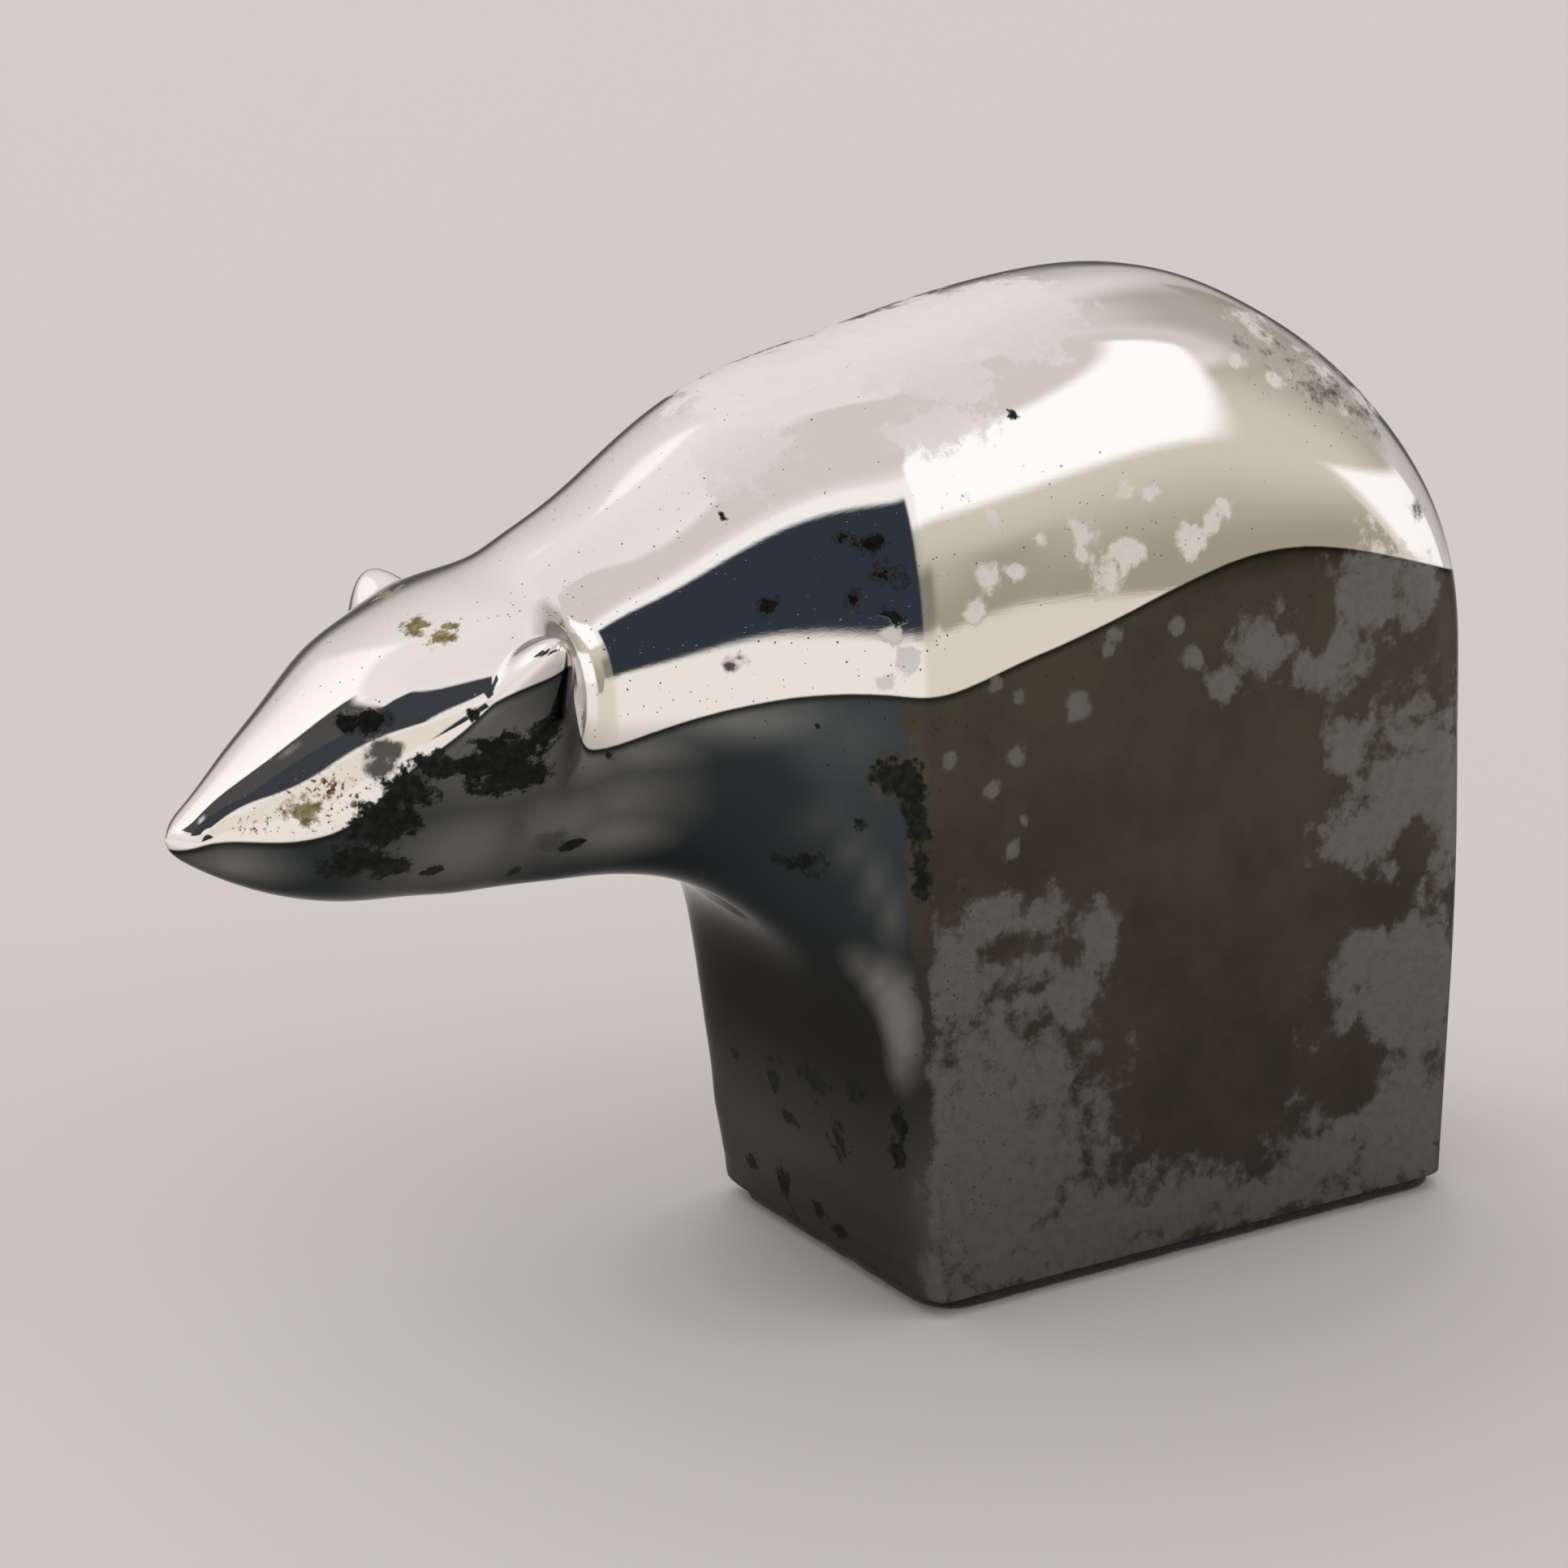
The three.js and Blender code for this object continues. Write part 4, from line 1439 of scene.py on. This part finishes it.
    def fibre_tree(self) -> bpy.types.NodeTree:
        """A tree that sets short bent fibres all over the upright faces of a mesh.

        Returns:
            The tree.
        """
        tree = bpy.data.node_groups.new("rim_fibres", "GeometryNodeTree")
        for name, kind in (
            ("Geometry", "NodeSocketGeometry"),
            ("Density", "NodeSocketFloat"),
            ("Length", "NodeSocketFloat"),
            ("Thickness", "NodeSocketFloat"),
            ("Seed", "NodeSocketInt"),
            ("Material", "NodeSocketMaterial"),
        ):
            tree.interface.new_socket(name, in_out="INPUT", socket_type=kind)
        tree.interface.new_socket("Geometry", in_out="OUTPUT", socket_type="NodeSocketGeometry")
        nodes = Nodes(tree)
        given, result = nodes.add("NodeGroupInput"), nodes.add("NodeGroupOutput")

        seed = given.outputs["Seed"]
        slope = nodes.math("ABSOLUTE", nodes.axes(nodes.add("GeometryNodeInputNormal").outputs[0])[2])
        scatter = nodes.add(
            "GeometryNodeDistributePointsOnFaces",
            {
                "Mesh": given.outputs["Geometry"],
                "Selection": nodes.math("LESS_THAN", slope, self.rim_slope),
                "Density": given.outputs["Density"],
                "Seed": seed,
            },
        )
        least, most = self.fibre_sizes
        size = nodes.add("FunctionNodeRandomValue", {2: least, 3: most, "Seed": seed}, data_type="FLOAT")
        lean, turn = self.fibre_lean, self.fibre_turn
        feeds = {0: (-lean, -lean, 0.0), 1: (lean, lean, turn), "Seed": seed}
        tilt = nodes.add("FunctionNodeRandomValue", feeds, data_type="FLOAT_VECTOR")
        hairs = nodes.add(
            "GeometryNodeInstanceOnPoints",
            {
                "Points": scatter.outputs["Points"],
                "Instance": self.fibre_shape(nodes, given),
                "Rotation": scatter.outputs["Rotation"],
                "Scale": size.outputs[1],
            },
        )
        feeds = {"Instances": hairs.outputs[0], "Rotation": tilt.outputs[0]}
        turned = nodes.add("GeometryNodeRotateInstances", feeds)
        real = nodes.add("GeometryNodeRealizeInstances", {0: turned.outputs[0]})
        feeds = {"Geometry": real.outputs[0], "Material": given.outputs["Material"]}
        nodes.feed(result, {0: nodes.add("GeometryNodeSetMaterial", feeds).outputs[0]})
        return tree

    def make_fibres(self, slab: bpy.types.Object, material: bpy.types.Material) -> bpy.types.Object:
        """Loose fibres on the rim of the felt, as a plain mesh between the floor and the base.

        Args:
            slab: The cut felt.
            material: Its material.

        Returns:
            The fibres.
        """
        carrier = bpy.data.objects.new("felt_carrier", slab.data.copy())
        bpy.context.scene.collection.objects.link(carrier)
        tree = self.fibre_tree()
        modifier = carrier.modifiers.new("fibres", "NODES")
        modifier.node_group = tree
        values = {
            "Density": self.fibre_count / MM**2,
            "Length": self.fibre_length * MM,
            "Thickness": self.fibre_thickness * MM,
            "Seed": self.fibre_seed,
            "Material": material,
        }
        for socket in tree.interface.items_tree:
            if socket.in_out == "INPUT" and socket.name in values:
                modifier[socket.identifier] = values[socket.name]
        seen = carrier.evaluated_get(bpy.context.evaluated_depsgraph_get())
        mesh = bpy.data.meshes.new_from_object(seen)
        bpy.data.objects.remove(carrier)
        points = np.zeros(3 * len(mesh.vertices))
        mesh.vertices.foreach_get("co", points)
        points[2::3] = np.clip(points[2::3], self.rim_gap * MM, (self.thickness - self.rim_gap) * MM)
        mesh.vertices.foreach_set("co", points)
        mesh.name = "felt_pad_fibres"
        made = bpy.data.objects.new("felt_pad_fibres", mesh)
        bpy.context.scene.collection.objects.link(made)
        return made

    def build(self) -> list[bpy.types.Object]:
        """Makes, dresses and seats the felt and its fibres.

        Returns:
            The felt, then its fibres.
        """
        slab = self.make_slab()
        material = self.finish.material()
        slab.data.materials.append(material)
        fibres = self.make_fibres(slab, material)
        for piece in (slab, fibres):
            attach(piece, "root")
        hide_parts("felt_pad")
        return [slab, fibres]


@dataclass
class Ballast:
    """The weight inside the casting and the plate that closes it, dressed where the model has them."""

    bedding: Finish = Blotched(
        "plaster_dry",
        pale=(0.74, 0.71, 0.63),
        dark=(0.6, 0.57, 0.49),
        metallic=0.0,
        roughness=0.85,
        cloud_fineness=0.15,
        grain_fineness=2.5,
        grain_depth=0.15,
    )
    slug: Finish = Blotched(
        "cast_iron_rough",
        pale=(0.14, 0.135, 0.13),
        dark=(0.07, 0.06, 0.055),
        metallic=0.8,
        roughness=0.6,
        cloud_fineness=0.2,
        grain_fineness=1.6,
        grain_depth=0.25,
    )
    plate: Finish = field(default_factory=RolledSheet)

    def build(self) -> list[bpy.types.Object]:
        """Gives each inner piece its finish.

        Returns:
            The pieces.
        """
        finishes = {"ballast_bedding": self.bedding, "ballast_slug": self.slug, "cover_plate": self.plate}
        for name, finish in finishes.items():
            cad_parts[name].material_slots[0].material = finish.material()
        return [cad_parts[name] for name in finishes]


# Half the width of a panel's soft edge, in degrees, where the panel gives no other
PANEL_EDGE = 1.5


@dataclass(frozen=True)
class Panel:
    """A plain panel of the studio, as seen from the bear.

    Its corners follow each other anticlockwise, each in degrees round from -Y towards +X and in degrees up.
    """

    corners: tuple[Pair, ...]
    colour: Colour
    soft: float = PANEL_EDGE

    @classmethod
    def upright(cls, around: Pair, up: Pair, colour: Colour, soft: float = PANEL_EDGE) -> "Panel":
        """A panel with upright sides.

        Args:
            around: Left and right side, in degrees round.
            up: Lower and upper edge, in degrees up.
            colour: Colour of the panel.
            soft: Half the width of its soft edge, in degrees.

        Returns:
            The panel.
        """
        (left, right), (low, high) = around, up
        return cls(((left, low), (right, low), (right, high), (left, high)), colour, soft)

    def mask(self, nodes: Nodes, where: Feed) -> bpy.types.NodeSocket:
        """Where the panel is, inside all of its edges.

        Args:
            nodes: Calls for the world's tree.
            where: The direction looked in, in degrees round and degrees up.

        Returns:
            The mask.
        """
        sides = []
        for start, end in zip(self.corners, self.corners[1:] + self.corners[:1]):
            length = math.dist(start, end)
            inward = ((start[1] - end[1]) / length, (end[0] - start[0]) / length, 0.0)
            reach = nodes.add("ShaderNodeVectorMath", {0: where, 1: inward}, operation="DOT_PRODUCT")
            edge = start[0] * inward[0] + start[1] * inward[1]
            sides.append(nodes.step(reach.outputs["Value"], edge - self.soft, edge + self.soft))
        mask = sides[0]
        for side in sides[1:]:
            mask = nodes.math("MULTIPLY", mask, side)
        return mask


# Panels from the rearmost to the foremost, each over those before it
PANELS = (
    # Grey and pale fields high up and low down
    Panel.upright((70, 124), (14, 62), (0.54, 0.5, 0.465), 14.0),
    Panel.upright((-38, 70), (39, 85), (0.76, 0.72, 0.69), 5.0),
    Panel.upright((18, 50), (-30, 3), (0.84, 0.78, 0.69), 4.0),
    Panel.upright((40, 125), (17.5, 36), (0.53, 0.495, 0.43), 2.0),
    # Olive field that the flank shows, with its paler top and its dark side
    Panel.upright((18, 33), (-1.7, 21), (0.41, 0.38, 0.295), 0.8),
    Panel(
        ((30.5, -1.7), (35.5, -7.2), (40, -8.5), (46, -8.5), (46, 21), (30.5, 21)),
        (0.41, 0.38, 0.295),
        0.5,
    ),
    Panel.upright((18, 62), (7, 34), (0.71, 0.685, 0.59), 10.0),
    Panel.upright((10, 29), (-2, 9), (0.27, 0.26, 0.21), 2.5),
    # Bright band along the back
    Panel.upright((-40, 26), (19.5, 36.5), (1.1, 1.08, 1.06), 2.0),
    Panel(((24, 19.5), (42, 19), (63, 44), (60, 57), (24, 40)), (1.25, 1.25, 1.25), 2.0),
    # Dark blue field that the neck shows, and the cream one beside it
    Panel.upright((-35, 18), (-2, 29.5), (0.032, 0.043, 0.058)),
    Panel.upright((-66, -35), (-2, 22), (0.93, 0.865, 0.775)),
    # Light and dark fields that the head shows
    Panel.upright((-174, -112), (23, 50), (1.25, 1.22, 1.2), 3.0),
    Panel.upright((-126, -84), (32, 48.5), (0.085, 0.085, 0.083)),
    Panel.upright((-86, -48), (25, 60), (0.05, 0.058, 0.068)),
    # Pale fields that the rump shows
    Panel.upright((74, 125), (-3, 20), (0.72, 0.69, 0.67), 3.0),
    Panel.upright((48, 78), (-3, 17), (1.2, 1.2, 1.18)),
    # Dark fields low down behind the bear, which meet at half a turn
    Panel.upright((112, 190), (-3, 12), (0.2, 0.19, 0.185), 6.0),
    Panel.upright((-190, -135), (-3, 10), (0.25, 0.24, 0.23), 6.0),
)


@dataclass
class Studio:
    """Camera, floor and soft light from pale and dark panels.

    Lengths are in millimetres, apart from the clip and the floor's size, which are in metres. The heights of
    the walls and the ceiling are in degrees up.
    """

    sensor: float = 36.0
    lens: float = 77.74
    azimuth: float = -30.64
    elevation: float = 14.90
    roll: float = -0.96
    distance: float = 220.2
    target: Place = (-2.706, 0.0, 33.28)
    clip: Pair = (0.005, 20.0)
    floor_size: float = 6.0
    floor_colour: Colour = (0.8, 0.785, 0.765)
    floor_roughness: float = 0.7
    floor_specular: float = 0.1
    ground: Colour = (1.0, 0.96, 0.91)
    shadow_reach: Pair = (60.0, 180.0)
    low_wall: Colour = (0.94, 0.895, 0.83)
    low_wall_heights: Pair = (-2.0, 2.0)
    high_wall: Colour = (1.0, 0.96, 0.945)
    high_wall_heights: Pair = (4.0, 22.0)
    ceiling: Colour = (0.95, 0.91, 0.89)
    ceiling_heights: Pair = (58.0, 72.0)
    panels: tuple[Panel, ...] = PANELS

    def place_camera(self) -> None:
        """The camera at the photograph's viewing angle."""
        a, e, r = (math.radians(value) for value in (self.azimuth, self.elevation, self.roll))
        back = np.array([math.sin(a) * math.cos(e), -math.cos(a) * math.cos(e), math.sin(e)])
        right = np.array([math.cos(a), math.sin(a), 0.0])
        up = np.cross(back, right)
        across = math.cos(r) * right + math.sin(r) * up
        upright = -math.sin(r) * right + math.cos(r) * up
        place = (np.array(self.target) + back * self.distance) * MM
        data = bpy.data.cameras.new("camera")
        data.sensor_width = self.sensor
        data.lens = self.lens
        data.clip_start, data.clip_end = self.clip
        made = bpy.data.objects.new("camera", data)
        turn = Matrix([[across[i], upright[i], back[i], place[i]] for i in range(3)] + [[0, 0, 0, 1]])
        made.matrix_world = turn
        bpy.context.scene.collection.objects.link(made)
        bpy.context.scene.camera = made

    def lay_floor(self) -> None:
        """A plain pale floor, which gives way to the studio's ground in the metal past the bear's shadow."""
        half = self.floor_size / MM / 2
        corners = np.array([[-half, -half, 0], [half, -half, 0], [half, half, 0], [-half, half, 0]])
        floor = mesh_object("floor", corners, [(0, 1, 2, 3)])
        material = bpy.data.materials.new("floor_plain")
        material.use_nodes = True
        nodes = Nodes(material.node_tree)
        shader = material.node_tree.nodes["Principled BSDF"]
        nodes.feed(
            shader,
            {
                "Base Color": (*self.floor_colour, 1),
                "Roughness": self.floor_roughness,
                "Specular IOR Level": self.floor_specular,
            },
        )
        in_metal = nodes.add("ShaderNodeLightPath").outputs["Is Glossy Ray"]
        spot = nodes.add("ShaderNodeNewGeometry").outputs["Position"]
        away = nodes.add("ShaderNodeVectorMath", {0: spot}, operation="LENGTH").outputs["Value"]
        clear = nodes.step(away, *(reach * MM for reach in self.shadow_reach))
        seen = nodes.add(
            "ShaderNodeMixShader",
            {
                0: nodes.math("MULTIPLY", in_metal, clear),
                1: shader.outputs[0],
                2: nodes.add("ShaderNodeBsdfTransparent").outputs[0],
            },
        )
        nodes.feed(material.node_tree.nodes["Material Output"], {"Surface": seen.outputs[0]})
        floor.data.materials.append(material)

    def light(self) -> None:
        """Soft light from the ground, the walls, the ceiling and the panels."""
        world = bpy.data.worlds.new("studio")
        bpy.context.scene.world = world
        world.use_nodes = True
        nodes = Nodes(world.node_tree)
        x, y, z = nodes.axes(nodes.add("ShaderNodeTexCoord").outputs["Generated"])
        up = nodes.math("DEGREES", nodes.math("ARCSINE", z))
        around = nodes.math("DEGREES", nodes.math("ARCTAN2", x, nodes.math("MULTIPLY", y, -1.0)))
        colour = nodes.tint(nodes.step(up, *self.low_wall_heights), self.ground, self.low_wall)
        colour = nodes.tint(nodes.step(up, *self.high_wall_heights), colour, self.high_wall)
        colour = nodes.tint(nodes.step(up, *self.ceiling_heights), colour, self.ceiling)
        where = nodes.add("ShaderNodeCombineXYZ", {0: around, 1: up})
        for panel in self.panels:
            colour = nodes.tint(panel.mask(nodes, where.outputs[0]), colour, panel.colour)
        nodes.feed(world.node_tree.nodes["Background"], {"Color": colour})

    def build(self) -> None:
        """Sets up the whole studio."""
        bpy.context.scene.view_settings.view_transform = "Standard"
        self.place_camera()
        self.lay_floor()
        self.light()


def main() -> None:
    """Builds the paperweight and its studio."""
    logging.basicConfig(level=logging.INFO, format="%(message)s")
    Studio().build()
    for piece in (BearCasting().build(), *FeltPad().build(), *Ballast().build()):
        LOG.info("%s: %d faces", piece.name, len(piece.data.polygons))


if __name__ == "__main__":
    main()
